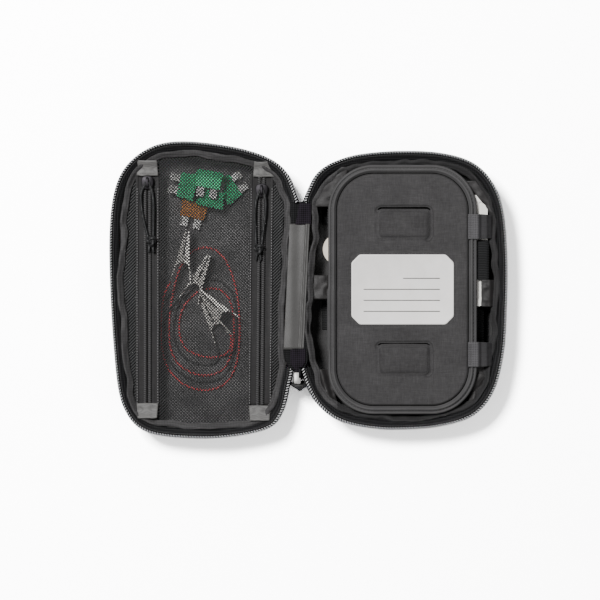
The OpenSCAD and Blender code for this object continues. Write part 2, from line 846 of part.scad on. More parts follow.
BLACK_POINTS = [
    [-58.6, -40.9, 6.3], [-57.6, -44.2, 6.6], [-57.4, -47.8, 6.7], [-59.6, -51.6, 5.8],
    [-65, -53.6, lead_z], [-72.4, -52.8, lead_z], [-80.6, -49.6, lead_z], [-86.6, -42.6, lead_z],
    [-89.6, -33.6, lead_z], [-89.2, -21.6, lead_z], [-86.4, -10, lead_z], [-81.4, 0, lead_z],
    [-74, 6, lead_z], [-64, 7.8, lead_z], [-54, 6, lead_z], [-46, -0.6, lead_z],
    [-41.6, -11, lead_z], [-40.8, -24, lead_z], [-41.6, -40, lead_z], [-46, -53.8, lead_z],
    [-54.6, -63, lead_z], [-66.6, -66.2, lead_z], [-78.6, -63.8, lead_z], [-88.8, -56.8, lead_z],
    [-94.6, -46.8, lead_z], [-96, -34, lead_z], [-95.4, -22, lead_z], [-94, -15.4, 5.8],
    [-90.8, -12, 8.6], [-87.4, -9.8, 10.9], [-85.5, -6.9, 11.35]
];

function unit(v) = v / norm(v);

// A ring of points round one place on a tube, square to its direction
function tube_ring(centre, along, r, sides) =
    let (across = unit(cross(along, [0, 0, 1])), up = cross(across, along))
    [for (k = [0:sides - 1]) centre + r * (cos(360 * k / sides) * across + sin(360 * k / sides) * up)];

module tube(path, r, sides) {
    last = len(path) - 1;
    rings = [for (i = [0:last])
        tube_ring(path[i], unit(path[min(i + 1, last)] - path[max(i - 1, 0)]), r, sides)];
    polyhedron(
        points = [for (ring = rings) each ring],
        faces = concat(
            [[for (k = [0:sides - 1]) k]],
            [[for (k = [sides - 1:-1:0]) last * sides + k]],
            [for (i = [0:last - 1], k = [0:sides - 1])
                [
                    i * sides + k, (i + 1) * sides + k,
                    (i + 1) * sides + (k + 1) % sides, i * sides + (k + 1) % sides
                ]]
        )
    );
}

module lead(points) {
    translate([hinge_x, 0, 0]) tube(points, lead_d / 2, 8);
}

module lead_red() { color(RED) lead(RED_POINTS); }

module lead_black() { color(BLACK) lead(BLACK_POINTS); }

// ---------------------------------------------------------------- nodes

color(BLACK) back_panel(BASE);  // base_back_panel
color(BLACK) gusset(BASE);  // base_gusset
color(CHARCOAL) lining(BASE);  // base_lining
color(CHARCOAL) seam_binding(BASE);  // base_binding
color(BLACK) zip_tape(BASE);  // base_zip_tape
color(BLACK) zip_coil(BASE);  // base_zip_coil
color(BLACK) seam_piping(BASE);  // base_piping
spine_panel();
spine_end_patches();
main_zip_slider();
main_pull_link();
main_pull_cord();
elastic_loops_left();
elastic_loops_right();
page_hinge_anchors();
page_cover();
page_board();
page_binding();
page_label();
page_hinge_tabs();
probe_front_shell();
probe_rear_shell();
probe_tip();
probe_button();
probe_volume_wheel();
toner_front_shell();
toner_rear_shell();
toner_switch();
toner_terminals();
circuit_boards();
batteries();
status_leds();
shell_screws();
color(BLACK) back_panel(LID);  // lid_back_panel
color(BLACK) gusset(LID);  // lid_gusset
color(CHARCOAL) lining(LID);  // lid_lining
color(CHARCOAL) seam_binding(LID);  // lid_binding
color(BLACK) zip_tape(LID);  // lid_zip_tape
color(BLACK) zip_coil(LID);  // lid_zip_coil
color(BLACK) seam_piping(LID);  // lid_piping
mesh_panel();
mesh_side_panels();
pocket_zip_tapes();
pocket_zip_coils();
zip_end_tabs();
pocket_slider_left();
pocket_slider_right();
pull_cord_left();
pull_cord_right();
fuse_green_bodies();
fuse_orange_body();
fuse_elements();
clip_fixed_jaws();
clip_a_jaw();
clip_b_jaw();
clip_c_jaw();
clip_d_jaw();
clip_pins_and_springs();
lead_red();
lead_black();
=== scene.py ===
import json
import math

import bmesh
import bpy
import numpy as np
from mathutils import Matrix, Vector, noise


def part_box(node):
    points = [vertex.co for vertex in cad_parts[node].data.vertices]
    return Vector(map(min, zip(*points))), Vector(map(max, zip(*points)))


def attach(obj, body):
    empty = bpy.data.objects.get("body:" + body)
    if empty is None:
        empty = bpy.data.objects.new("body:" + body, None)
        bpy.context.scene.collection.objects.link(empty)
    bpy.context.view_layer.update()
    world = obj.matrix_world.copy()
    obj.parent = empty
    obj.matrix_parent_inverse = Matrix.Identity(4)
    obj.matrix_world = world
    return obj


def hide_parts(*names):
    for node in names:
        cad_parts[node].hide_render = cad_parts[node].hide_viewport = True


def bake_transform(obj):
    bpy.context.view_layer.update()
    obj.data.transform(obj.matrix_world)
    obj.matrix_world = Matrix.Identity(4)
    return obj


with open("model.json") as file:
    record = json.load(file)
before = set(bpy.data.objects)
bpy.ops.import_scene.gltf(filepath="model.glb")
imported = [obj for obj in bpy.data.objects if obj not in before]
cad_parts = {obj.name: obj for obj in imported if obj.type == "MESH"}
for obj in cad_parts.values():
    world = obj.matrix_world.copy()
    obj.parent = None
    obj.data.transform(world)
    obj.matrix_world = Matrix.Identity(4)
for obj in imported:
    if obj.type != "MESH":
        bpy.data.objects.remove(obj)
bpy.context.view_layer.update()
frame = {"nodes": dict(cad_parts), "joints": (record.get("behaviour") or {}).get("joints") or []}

MM = 0.001
UP = np.array([0.0, 0.0, 1.0])


# ------------------------------------------------------------------ places from the frame, in millimetres

def box_mm(node):
    """A CAD node's lowest and highest corner, in millimetres."""
    low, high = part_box(node)
    return np.array(low) / MM, np.array(high) / MM


def joint_mm(name):
    """Where a joint is, in millimetres."""
    return np.array(next(j["pos_m"] for j in frame["joints"] if j["name"] == name)) / MM


HINGE_X = joint_mm("lid_hinge")[0]
PAGE_LOW, PAGE_HIGH = box_mm("page_binding")
COVER_LOW, COVER_HIGH = box_mm("page_cover")
LABEL_LOW, LABEL_HIGH = box_mm("page_label")
PAGE_PIVOT = joint_mm("page_hinge")
SPINE_LOW, SPINE_HIGH = box_mm("spine_panel")
MESH_Z = box_mm("mesh_panel")[1][2]
TAPES_LOW, TAPES_HIGH = box_mm("pocket_zip_tapes")
LINK_PIVOT = joint_mm("main_pull_hinge")
CORD_PIVOT = joint_mm("main_pull_loop_swing")

# Each half's outline, as [across from the spine's middle, along the spine], counter-clockwise
LID_OUTLINE = [
    (-1.2, 54), (-1.6, 62), (-4.6, 71.5), (-8.8, 81), (-18, 90.2), (-34, 97), (-54, 101.4), (-79, 104),
    (-98, 102.2), (-113.5, 94.6), (-125, 82), (-131.2, 64), (-133.6, 38), (-133.2, 4), (-131, -36),
    (-127.4, -70), (-121.5, -87), (-112, -97.5), (-96, -102.8), (-66, -104.6), (-44, -102.8),
    (-29, -99.8), (-20.4, -96.4), (-15.4, -91.4), (-10.6, -81.4), (-7.4, -67), (-5.2, -56), (-5.2, -40),
    (-5, -20), (-4, 4), (-2.4, 30)
]
BASE_OUTLINE = [
    (0.9, -54.8), (4.1, -65), (8.6, -74.8), (14.2, -82.3), (23.2, -89.7), (34.8, -94.6), (50, -97.4),
    (68, -98.4), (97, -96.3), (121.5, -88.4), (136, -71), (143, -44), (145, -14), (145.5, 20), (143, 53),
    (136, 73.6), (121.5, 88.8), (98, 96), (68, 97.2), (42, 95), (26, 90.6), (16.6, 85.6), (10.6, 79.6),
    (6.2, 71), (2.8, 61.5), (1.8, 46), (0.2, 26), (-1.4, 4), (-1.6, -20), (-0.8, -42)
]


# ------------------------------------------------------------------ shapes, in millimetres

class Shape:
    """Points and faces that several sweeps add to."""

    def __init__(self):
        self.points = []
        self.faces = []

    def add(self, points, faces):
        first = len(self.points)
        self.points.extend(points)
        self.faces.extend([tuple(first + i for i in face) for face in faces])
        return self


def rough(x, y, z, size, seed=0.0):
    """Smooth noise from -1 to 1 with features of a size in millimetres."""
    return noise.noise(Vector((x / size + seed * 7.3, y / size - seed * 3.1, z / size + seed)))


def ridged(x, y, z, size, seed=0.0):
    """Noise from 0 to 1 with sharp crests, as in creased cloth."""
    return 1 - min(1.0, 2.2 * abs(rough(x, y, z, size, seed)))


def step(low, high, value):
    """0 below low, 1 above high, and a smooth change between."""
    t = min(1.0, max(0.0, (value - low) / (high - low)))
    return t * t * (3 - 2 * t)


def run_along(points):
    """How far along a line each of its points is."""
    return np.concatenate([[0], np.cumsum(np.linalg.norm(np.diff(points, axis=0), axis=1))])


def turns(sides):
    """Evenly spaced angles round a full turn."""
    return [2 * math.pi * k / sides for k in range(sides)]


def slab(row, thickness):
    """A closed profile: a row of points, and the same row lowered, on the way back."""
    return row + [(x, y, z - thickness) for x, y, z in row[::-1]]


def through(points, spacing, closed=False):
    """Evenly spaced places on a smooth curve through a few points."""
    points = np.array(points, float)
    count = len(points)
    if closed:
        padded = np.vstack([points[-1:], points, points[:2]])
    else:
        padded = np.vstack([2 * points[0] - points[1], points, 2 * points[-1] - points[-2]])
    dense = []
    for i in range(1, len(padded) - 2):
        a, b, c, d = padded[i - 1:i + 3]
        for t in np.arange(0, 1, 1 / 16):
            dense.append(
                b + 0.5 * t * (c - a + t * (2 * a - 5 * b + 4 * c - d + t * (3 * (b - c) + d - a)))
            )
    dense.append(points[0] if closed else points[count - 1])
    dense = np.array(dense)
    run = run_along(dense)
    places = max(3, int(round(run[-1] / spacing)) + (0 if closed else 1))
    at = np.linspace(0, run[-1], places, endpoint=not closed)
    return np.column_stack([np.interp(at, run, dense[:, k]) for k in range(points.shape[1])])


def outline(points, spacing=1.6):
    """A half's outline: evenly spaced places and the directions inward."""
    place = through(points, spacing, closed=True) + np.array([HINGE_X, 0])
    along = np.roll(place, -2, 0) - np.roll(place, 2, 0)
    along /= np.linalg.norm(along, axis=1)[:, None]
    return place, np.column_stack([-along[:, 1], along[:, 0]])


def stretch(loop, kept):
    """The part of a closed outline for which kept(x, y) is true, as an open one."""
    place, inward = loop
    flags = [kept(x, y) for x, y in place]
    first = next(i for i in range(len(flags)) if flags[i] and not flags[i - 1])
    count = sum(flags)
    return np.roll(place, -first, 0)[:count], np.roll(inward, -first, 0)[:count]


def skin(rows, closed_along=False, closed_around=True):
    """A surface over rows of points. Open ends of a closed profile are capped."""
    count, sides = len(rows), len(rows[0])
    points = [tuple(p) for row in rows for p in row]
    faces = []
    for i in range(count if closed_along else count - 1):
        a = i * sides
        b = (i + 1) % count * sides
        for k in range(sides if closed_around else sides - 1):
            n = (k + 1) % sides
            faces.append((a + k, a + n, b + n, b + k))
    if closed_around and not closed_along:
        faces.append(tuple(range(sides - 1, -1, -1)))
        faces.append(tuple((count - 1) * sides + k for k in range(sides)))
    return points, faces


def swept(path, profile, closed=True):
    """A profile swept along an outline. profile(x, y) gives its (inset, height) points at a place."""
    rows = []
    for (x, y), (nx, ny) in zip(*path):
        rows.append([(x + nx * inset, y + ny * inset, z) for inset, z in profile(x, y)])
    return skin(rows, closed_along=closed)


def tube(points, radius, sides=8):
    """A round tube along points. radius is one number, or one for each point."""
    points = np.array(points, float)
    radii = np.broadcast_to(radius, len(points))
    along = np.gradient(points, axis=0)
    along /= np.linalg.norm(along, axis=1)[:, None]
    side = np.cross(along[0], UP if abs(along[0][2]) < 0.9 else [1.0, 0, 0])
    rows = []
    for point, direction, r in zip(points, along, radii):
        side = side - direction * side.dot(direction)
        side /= np.linalg.norm(side)
        other = np.cross(direction, side)
        rows.append([point + r * (math.cos(a) * side + math.sin(a) * other) for a in turns(sides)])
    return skin(rows)


def coil(path, height, pitch, half_w, half_h, wire, phase=0.0, steps=12, sides=5):
    """A flattened helix of wire along an open path, with its middle at a height."""
    place, inward = path
    run = run_along(place)
    at = np.arange(0, run[-1], pitch / steps)
    x, y, nx, ny = (np.interp(at, run, v) for v in (*place.T, *inward.T))
    angle = 2 * math.pi * at / pitch + phase
    across = half_w * np.cos(angle)
    centre = np.column_stack([x + nx * across, y + ny * across, height + half_h * np.sin(angle)])
    along = np.gradient(centre, axis=0)
    along /= np.linalg.norm(along, axis=1)[:, None]
    out = np.column_stack([nx * np.cos(angle), ny * np.cos(angle), np.sin(angle)])
    out -= along * (out * along).sum(axis=1)[:, None]
    out /= np.linalg.norm(out, axis=1)[:, None]
    other = np.cross(along, out)
    rings = [centre + wire * (math.cos(a) * out + math.sin(a) * other) for a in turns(sides)]
    return skin(np.stack(rings, axis=1))


def stitches(points, pitch, length, radius):
    """A row of thread stitches along points, each a short grain that bulges in its middle."""
    line = through(points, 0.5)
    run = run_along(line)
    shape = Shape()
    for start in np.arange(pitch / 2, run[-1] - length, pitch):
        at = start + np.linspace(0, length, 4)
        thread = np.column_stack([np.interp(at, run, line[:, k]) for k in range(3)])
        shape.add(*tube(thread, [radius * 0.45, radius, radius, radius * 0.45], 6))
    return shape


def rounded_box(low, high, radius, segments=4):
    """A box whose upright edges are round, as a closed shape with soft top and bottom edges."""
    low, high = np.array(low, float), np.array(high, float)
    soft = min(radius, (high[2] - low[2]) / 2) * 0.5
    rows = []
    for inset, z in [(soft, low[2]), (0, low[2] + soft), (0, high[2] - soft), (soft, high[2])]:
        row = []
        for k, (cx, cy) in enumerate([(1, 1), (-1, 1), (-1, -1), (1, -1)]):
            middle_x = high[0] - radius if cx > 0 else low[0] + radius
            middle_y = high[1] - radius if cy > 0 else low[1] + radius
            for s in range(segments + 1):
                a = math.pi / 2 * (k + s / segments)
                r = radius - inset
                row.append((middle_x + r * math.cos(a), middle_y + r * math.sin(a), z))
        rows.append(row)
    return skin(rows)


def piece(name, shape, material, body, stands_for=()):
    """A mesh piece in the frame, from a shape in millimetres. A body of None leaves it unattached."""
    points, faces = (shape.points, shape.faces) if isinstance(shape, Shape) else shape
    mesh = bpy.data.meshes.new(name)
    mesh.from_pydata((np.array(points, float) * MM).tolist(), [], faces)
    edit = bmesh.new()
    edit.from_mesh(mesh)
    bmesh.ops.recalc_face_normals(edit, faces=edit.faces)
    edit.to_mesh(mesh)
    edit.free()
    mesh.materials.append(material)
    mesh.shade_smooth()
    obj = bpy.data.objects.new(name, mesh)
    bpy.context.scene.collection.objects.link(obj)
    if body:
        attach(obj, body)
    if stands_for:
        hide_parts(*stands_for)
    return obj


# ------------------------------------------------------------------ materials

def shader(name, colour, roughness, **sockets):
    """A material with one Principled shader, and that shader's node."""
    made = bpy.data.materials.new(name)
    made.use_nodes = True
    main = made.node_tree.nodes["Principled BSDF"]
    main.inputs["Base Color"].default_value = (*colour, 1)
    main.inputs["Roughness"].default_value = roughness
    for socket, value in sockets.items():
        main.inputs[socket.replace("_", " ")].default_value = value
    return made, main


def node(made, kind, inputs=(), **settings):
    """A new node. inputs are (socket, value or output socket) pairs."""
    added = made.node_tree.nodes.new(kind)
    for setting, value in settings.items():
        setattr(added, setting, value)
    for socket, value in inputs:
        if isinstance(value, bpy.types.NodeSocket):
            made.node_tree.links.new(value, added.inputs[socket])
        else:
            added.inputs[socket].default_value = value
    return added


def waves(made, period, directions="XYZ", distortion=0.0):
    """The mean of straight waves of a period in millimetres along some axes, from 0 to 1."""
    place = node(made, "ShaderNodeTexCoord").outputs["Object"]
    total = None
    for direction in directions:
        wave = node(
            made, "ShaderNodeTexWave",
            [("Vector", place), ("Scale", 2 * math.pi / 20 / (period * MM)), ("Distortion", distortion),
             ("Detail", 0.0)],
            bands_direction=direction,
        ).outputs["Fac"]
        if total is None:
            total = wave
        else:
            total = node(made, "ShaderNodeMath", [(0, total), (1, wave)], operation="ADD").outputs[0]
    return node(
        made, "ShaderNodeMath", [(0, total), (1, 1 / len(directions))], operation="MULTIPLY"
    ).outputs[0]


def grain(made, size, detail=3.0, stretched=(1, 1, 1)):
    """Noise with features of a size in millimetres, from 0 to 1."""
    place = node(made, "ShaderNodeTexCoord").outputs["Object"]
    pulled = node(made, "ShaderNodeMapping", [("Vector", place), ("Scale", stretched)]).outputs[0]
    return node(
        made, "ShaderNodeTexNoise",
        [("Vector", pulled), ("Scale", 1 / (size * MM)), ("Detail", detail), ("Roughness", 0.6)],
    ).outputs["Fac"]


def scaled(made, value, low, high, start=0.3, stop=0.7):
    """value spread from start..stop to low..high."""
    return node(
        made, "ShaderNodeMapRange",
        [("Value", value), ("From Min", start), ("From Max", stop), ("To Min", low), ("To Max", high)],
    ).outputs[0]


def joined(made, one, other, operation="MULTIPLY"):
    """Two values, or a value and a number, joined by arithmetic."""
    return node(made, "ShaderNodeMath", [(0, one), (1, other)], operation=operation).outputs[0]


def tinted(made, main, colour, shade):
    """The base colour, darkened or lightened by shade."""
    mixed = node(
        made, "ShaderNodeVectorMath", [(0, colour), (1, shade)], operation="MULTIPLY"
    ).outputs[0]
    made.node_tree.links.new(mixed, main.inputs["Base Color"])


def bumped(made, main, height, depth):
    """Bump from a height from 0 to 1, of a depth in millimetres."""
    bump = node(made, "ShaderNodeBump", [("Height", height), ("Distance", depth * MM), ("Strength", 1.0)])
    made.node_tree.links.new(bump.outputs[0], main.inputs["Normal"])


def cloth(name, colour, period, roughness=0.8, depth=0.12, variation=0.35, slub=0.0, sheen=0.04,
          gloss=0.1, directions="XYZ", fold=0.0, soiling=0.14):
    """A woven fabric. slub adds thick and thin yarns both ways, and fold adds fine creases."""
    made, main = shader(name, colour, roughness, Sheen_Weight=sheen, Sheen_Roughness=0.4,
                        Specular_IOR_Level=gloss)
    weave = waves(made, period, directions, distortion=0.6)
    fibre = grain(made, period * 0.5, 2.0)
    wear = grain(made, 22, 4.0)
    height = joined(made, weave, joined(made, fibre, 0.6), "ADD")
    lit_weave = scaled(made, weave, 1 - variation, 1 + variation)
    shade = joined(made, lit_weave, scaled(made, wear, 1 - soiling, 1 + soiling))
    shade = joined(made, shade, scaled(made, fibre, 0.88, 1.12))
    if slub:
        across = grain(made, 0.6, 2.0, (0.09, 1, 1))
        down = grain(made, 0.6, 2.0, (1, 0.09, 1))
        yarns = scaled(made, joined(made, across, down, "ADD"), 1 - slub, 1 + slub, 0.7, 1.3)
        shade = joined(made, shade, yarns)
        height = joined(made, height, yarns, "ADD")
    if fold:
        crease = grain(made, 7, 3.0)
        height = joined(made, height, joined(made, crease, fold), "ADD")
    tinted(made, main, colour, shade)
    bumped(made, main, height, depth)
    return made


def plastic(name, colour, roughness=0.45, texture=0.03, **sockets):
    """Moulded plastic with a fine spark texture and slight soiling."""
    made, main = shader(name, colour, roughness, **sockets)
    fine = grain(made, 0.35, 2.0)
    soil = grain(made, 14, 4.0)
    tinted(made, main, colour, scaled(made, soil, 0.93, 1.05))
    worn = joined(made, scaled(made, soil, -0.06, 0.08), scaled(made, fine, -0.05, 0.05), "ADD")
    made.node_tree.links.new(joined(made, worn, roughness, "ADD"), main.inputs["Roughness"])
    bumped(made, main, fine, texture)
    return made


def metal(name, colour, roughness=0.3, brushed=(1, 1, 1)):
    """Plated or brushed metal, duller and darker where it is handled."""
    made, main = shader(name, colour, roughness, Metallic=1.0)
    lines = grain(made, 0.5, 3.0, brushed)
    worn = grain(made, 5, 4.0)
    tinted(made, main, colour, joined(made, scaled(made, worn, 0.8, 1.08), scaled(made, lines, 0.93, 1.05)))
    dull = joined(made, scaled(made, worn, -0.08, 0.12), scaled(made, lines, -0.06, 0.06), "ADD")
    made.node_tree.links.new(joined(made, dull, roughness, "ADD"), main.inputs["Roughness"])
    bumped(made, main, lines, 0.02)
    return made


def clear_plastic(name, colour):
    """The tinted see-through plastic of a blade fuse."""
    made, main = shader(name, colour, 0.22, Transmission_Weight=0.2, IOR=1.49, Coat_Weight=0.3)
    tinted(made, main, colour, scaled(made, grain(made, 3, 3.0), 0.85, 1.15))
    bumped(made, main, grain(made, 0.8, 2.0), 0.03)
    return made


SHELL = cloth("case_shell_weave", (0.017, 0.017, 0.018), 1.0, depth=0.1, variation=0.2, gloss=0.12)
LID_LINING = cloth("lining_nylon_lid", (0.17, 0.163, 0.164), 0.7, roughness=0.55, depth=0.1,
                   variation=0.2, fold=2.5, gloss=0.3, soiling=0.55)
# The base's lining: dark cloth, made far darker than the lid's as painted shade for the deep gaps round the
# page
BASE_LINING_PAINTED_SHADE = cloth("lining_nylon_base", (0.0095, 0.009, 0.009), 0.7, roughness=0.55, depth=0.1,
                    variation=0.25, fold=2.5, gloss=0.3)
FLAP = cloth("lining_fold_nylon", (0.0155, 0.0145, 0.0145), 0.7, roughness=0.5, depth=0.1,
             variation=0.3, fold=2.5, gloss=0.2)
LID_BINDING = cloth("seam_binding_lid", (0.029, 0.028, 0.0285), 1.1, depth=0.16, variation=0.4,
                    fold=1.8, gloss=0.2)
# Painted shade: a darker copy of the binding tape, for the base's binding in the recess round the page
BASE_BINDING_PAINTED_SHADE = cloth("seam_binding_base", (0.009, 0.0087, 0.009), 1.1, depth=0.16, variation=0.45, fold=2.2,
                     gloss=0.3)
PIPING = cloth("piping_cord_cover", (0.011, 0.011, 0.012), 0.8, depth=0.12)
ZIP_TAPE = cloth("zip_tape_weave", (0.0085, 0.0085, 0.009), 1.3, depth=0.2, variation=0.7, gloss=0.08)
# Painted highlight: the coil is black nylon, coloured light grey so that its teeth read as bright glints
COIL = plastic("zip_coil_nylon", (0.5, 0.5, 0.505), 0.38, 0.01)
POCKET_COIL = plastic("pocket_coil_nylon", (0.034, 0.033, 0.034), 0.5, 0.01)
SATIN = cloth("spine_satin", (0.045, 0.0437, 0.0425), 0.45, roughness=0.45, depth=0.06,
              variation=0.14, sheen=0.1, gloss=0.3, directions="XY", fold=1.2)
PATCH = cloth("spine_patch_weave", (0.0052, 0.0038, 0.0058), 1.4, depth=0.3, variation=0.95, gloss=0.1)
SLIDER = metal("slider_gunmetal", (0.03, 0.028, 0.031), 0.55)
LINK = metal("pull_link_nickel", (0.52, 0.51, 0.5), 0.6, (1, 0.1, 1))
MAIN_SLIDER = metal("main_slider_black", (0.012, 0.012, 0.013), 0.6)
CORD = cloth("pull_cord_braid", (0.0075, 0.0075, 0.008), 0.9, roughness=0.5, depth=0.3,
             variation=0.8, gloss=0.35)
ELASTIC = cloth("elastic_rib", (0.009, 0.009, 0.0095), 0.8, depth=0.1, variation=0.6, gloss=0.15)
WEBBING = cloth("hinge_webbing", (0.045, 0.0437, 0.0455), 1.2, depth=0.3, variation=0.5, gloss=0.15)
# Painted shade: a darker copy of the hinge webbing, for its part that drops from the page towards the wall
WEBBING_PAINTED_SHADE = cloth("hinge_webbing_shaded", (0.023, 0.0225, 0.0235), 0.9, depth=0.2,
                     variation=0.4, gloss=0.1)
PAGE_CLOTH = cloth("page_ripstop", (0.0295, 0.0285, 0.029), 0.8, depth=0.1, variation=0.3, slub=0.2)
PAGE_BOARD = cloth("page_back_cloth", (0.014, 0.014, 0.0145), 0.8, depth=0.1)
PAGE_TAPE = cloth("page_binding_tape", (0.04, 0.039, 0.0395), 0.8, depth=0.12, variation=0.25,
                  fold=0.8, gloss=0.2)
LABEL = plastic("label_card", (0.66, 0.64, 0.62), 0.5, 0.01)
RULE = plastic("label_rule_ink", (0.06, 0.058, 0.056), 0.6, 0.0)
THREAD = cloth("stitch_thread", (0.055, 0.054, 0.055), 0.5, depth=0.05, variation=0.3, gloss=0.3)
HEM_THREAD = cloth("hem_thread", (0.16, 0.157, 0.16), 0.5, depth=0.05, variation=0.3, gloss=0.3)
NET = cloth("pocket_net_thread", (0.0105, 0.0105, 0.0108), 0.6, roughness=0.5, depth=0.05,
            variation=0.4, gloss=0.25)
TAB = cloth("zip_tab_satin", (0.078, 0.076, 0.074), 0.6, roughness=0.5, depth=0.14, variation=0.3, sheen=0.1,
            gloss=0.3, fold=1.5)
POCKET_TAPE = cloth("pocket_zip_tape", (0.018, 0.0172, 0.0175), 0.9, depth=0.16, variation=0.4, gloss=0.2)
DEVICE = plastic("device_shell_ivory", (0.66, 0.645, 0.61), 0.42)
WHEEL = plastic("volume_wheel_cream", (0.5, 0.45, 0.38), 0.45)
DARK = plastic("device_dark_plastic", (0.02, 0.02, 0.021), 0.5)
TERMINAL = metal("terminal_nickel", (0.7, 0.68, 0.62), 0.25)
STEEL = metal("screw_steel", (0.4, 0.39, 0.37), 0.35)
BOARD = plastic("circuit_board_green", (0.03, 0.17, 0.08), 0.4)
BATTERY = plastic("battery_sleeve", (0.05, 0.05, 0.055), 0.35)
LED = plastic("status_led_red", (0.6, 0.04, 0.03), 0.25, 0.0, Transmission_Weight=0.3)
GREEN = clear_plastic("fuse_green_plastic", (0.06, 0.85, 0.36))
ORANGE = clear_plastic("fuse_orange_plastic", (0.95, 0.36, 0.08))
BLADE = metal("fuse_blade_zinc", (0.95, 0.93, 0.9), 0.3, (1, 1, 0.2))
CLIP = metal("clip_nickel", (0.97, 0.93, 0.87), 0.42, (1, 1, 1))
LEAD_RED = plastic("lead_red_insulation", (0.95, 0.12, 0.13), 0.4, 0.02)
LEAD_BLACK = plastic("lead_black_insulation", (0.085, 0.082, 0.083), 0.4, 0.02)


# ------------------------------------------------------------------ the case's two halves

TAPE_TOP = 26.8
COIL_Z = 27.2
COIL_PITCH = 1.9
COIL_HALF_W = 0.72
COIL_HALF_H = 0.5
WIRE_RADIUS = 0.3
SPINE_SIDE = 26
LINING_THICKNESS = 0.45


def by_spine(x, y, reach):
    """From 0 to 1: how much a place is on the stretch that is sewn to the spine."""
    near = step(SPINE_SIDE, 16, abs(x - HINGE_X)) if abs(x - HINGE_X) < SPINE_SIDE else 0.0
    return near * step(reach + 4, reach - 4, abs(y - 2))


class Half:
    """One half of the case: its name, its outline and its own folds."""

    def __init__(self, name, points, seed):
        self.name = name
        self.loop = outline(points)
        self.fine_loop = outline(points, 0.8)
        self.seed = seed
        self.middle = self.loop[0].mean(axis=0)

    def wave(self, x, y, size, seed=0.0):
        return rough(x, y, 0, size, self.seed + seed)

    def disc(self, rings):
        """A flat body from rings of (inset, share of the size, height), closed at the middle."""
        place, inward = self.loop
        rows = []
        for inset, share, height in rings:
            row = []
            for (x, y), (nx, ny) in zip(place, inward):
                px = self.middle[0] + (x + nx * inset - self.middle[0]) * share
                py = self.middle[1] + (y + ny * inset - self.middle[1]) * share
                row.append((px, py, height))
            rows.append(row)
        return skin(rows)


def back_panel(half):
    """The fabric-covered foam back, which the case lies on."""
    rings = [
        (12, 0.03, 0.0), (12, 0.3, 0.0), (12, 0.6, 0.0), (12, 0.85, 0.0), (12, 1, 0.0),
        (8, 1, 0.05), (5, 1, 0.4), (3.8, 1, 1.2), (3.8, 1, 2.6),
        (6, 1, 3.0), (12, 1, 3.0), (12, 0.5, 3.0), (12, 0.03, 3.0)
    ]
    piece(f"{half.name}_back_cover", half.disc(rings), SHELL, half.name,
          [f"{half.name}_back_panel"])


def side_wall(half):
    """The padded wall, higher where it is sewn to the spine."""

    def profile(x, y):
        rise = 0.5 * by_spine(x, y, 54)
        out = 0.5 * half.wave(x, y, 34)
        dent = 0.35 * half.wave(x, y, 11, 4)
        return [
            (2.4, 0.5), (1.2, 1.0), (0.7, 2.4), (0.5 - out, 7), (0.3 - out - dent, 13), (0.6 - out, 19),
            (0.9, 23 + rise), (1.5, 24.1 + rise), (2.5, 24.2 + rise), (3.2, 23.4 + rise), (3.5, 19), (3.5, 8),
            (3.4, 1.2)
        ]

    piece(f"{half.name}_side_wall", swept(half.loop, profile), SHELL, half.name,
          [f"{half.name}_gusset"])


def piping(half):
    """The corded seam round the back."""
    radius, inset, height = 1.1, 0.35, 3
    ring = [(inset + radius * math.cos(a), height + radius * math.sin(a)) for a in turns(8)]
    piece(f"{half.name}_piping_cord", swept(half.loop, lambda x, y: ring), PIPING, half.name,
          [f"{half.name}_piping"])


def lining(half):
    """The inner cloth: down the wall, round the bottom edge and across the floor, loose and creased."""
    place, inward = half.loop
    rows = []
    for inset, z, slack in [
        (4.6, 22.3, 0.3), (4.6, 21, 0.8), (4.9, 17, 1.2), (5.0, 13, 1.4), (5.0, 9.5, 1.0),
        (5.4, 6.4, 0.5), (6.6, 4.7, 0.2), (8.6, 3.95, 0.1), (11.5, 3.8, 0.1), (16, 3.75, 0.1)
    ]:
        row = []
        for (x, y), (nx, ny) in zip(place, inward):
            crease = 1.3 * half.wave(x, y, 12, 1 + z / 60) + ridged(x, y, z, 7, half.seed) - 0.3
            depth = inset + slack * max(-0.2, crease)
            rise = 0.6 * by_spine(x, y, 54) * step(19, 23, z)
            row.append((x + nx * depth, y + ny * depth, z + rise + 0.1 * crease))
        rows.append(row)
    rim = rows[-1]
    for share in [0.88, 0.74, 0.58, 0.4, 0.2, 0.03]:
        row = []
        for x, y, z in rim:
            px = half.middle[0] + (x - half.middle[0]) * share
            py = half.middle[1] + (y - half.middle[1]) * share
            row.append((px, py, 3.6 + 0.2 * half.wave(px, py, 16, 5)))
        rows.append(row)
    points, faces = skin(rows)
    faces.pop(-2)
    # The base gets the near-black lining: its own dark cloth with painted shade on top
    material = LID_LINING if half.name == "lid" else BASE_LINING_PAINTED_SHADE
    obj = piece(f"{half.name}_lining_cloth", (points, faces), material, half.name,
                [f"{half.name}_lining"])
    solid = obj.modifiers.new("thickness", "SOLIDIFY")
    solid.thickness = LINING_THICKNESS * MM
    solid.offset = 0


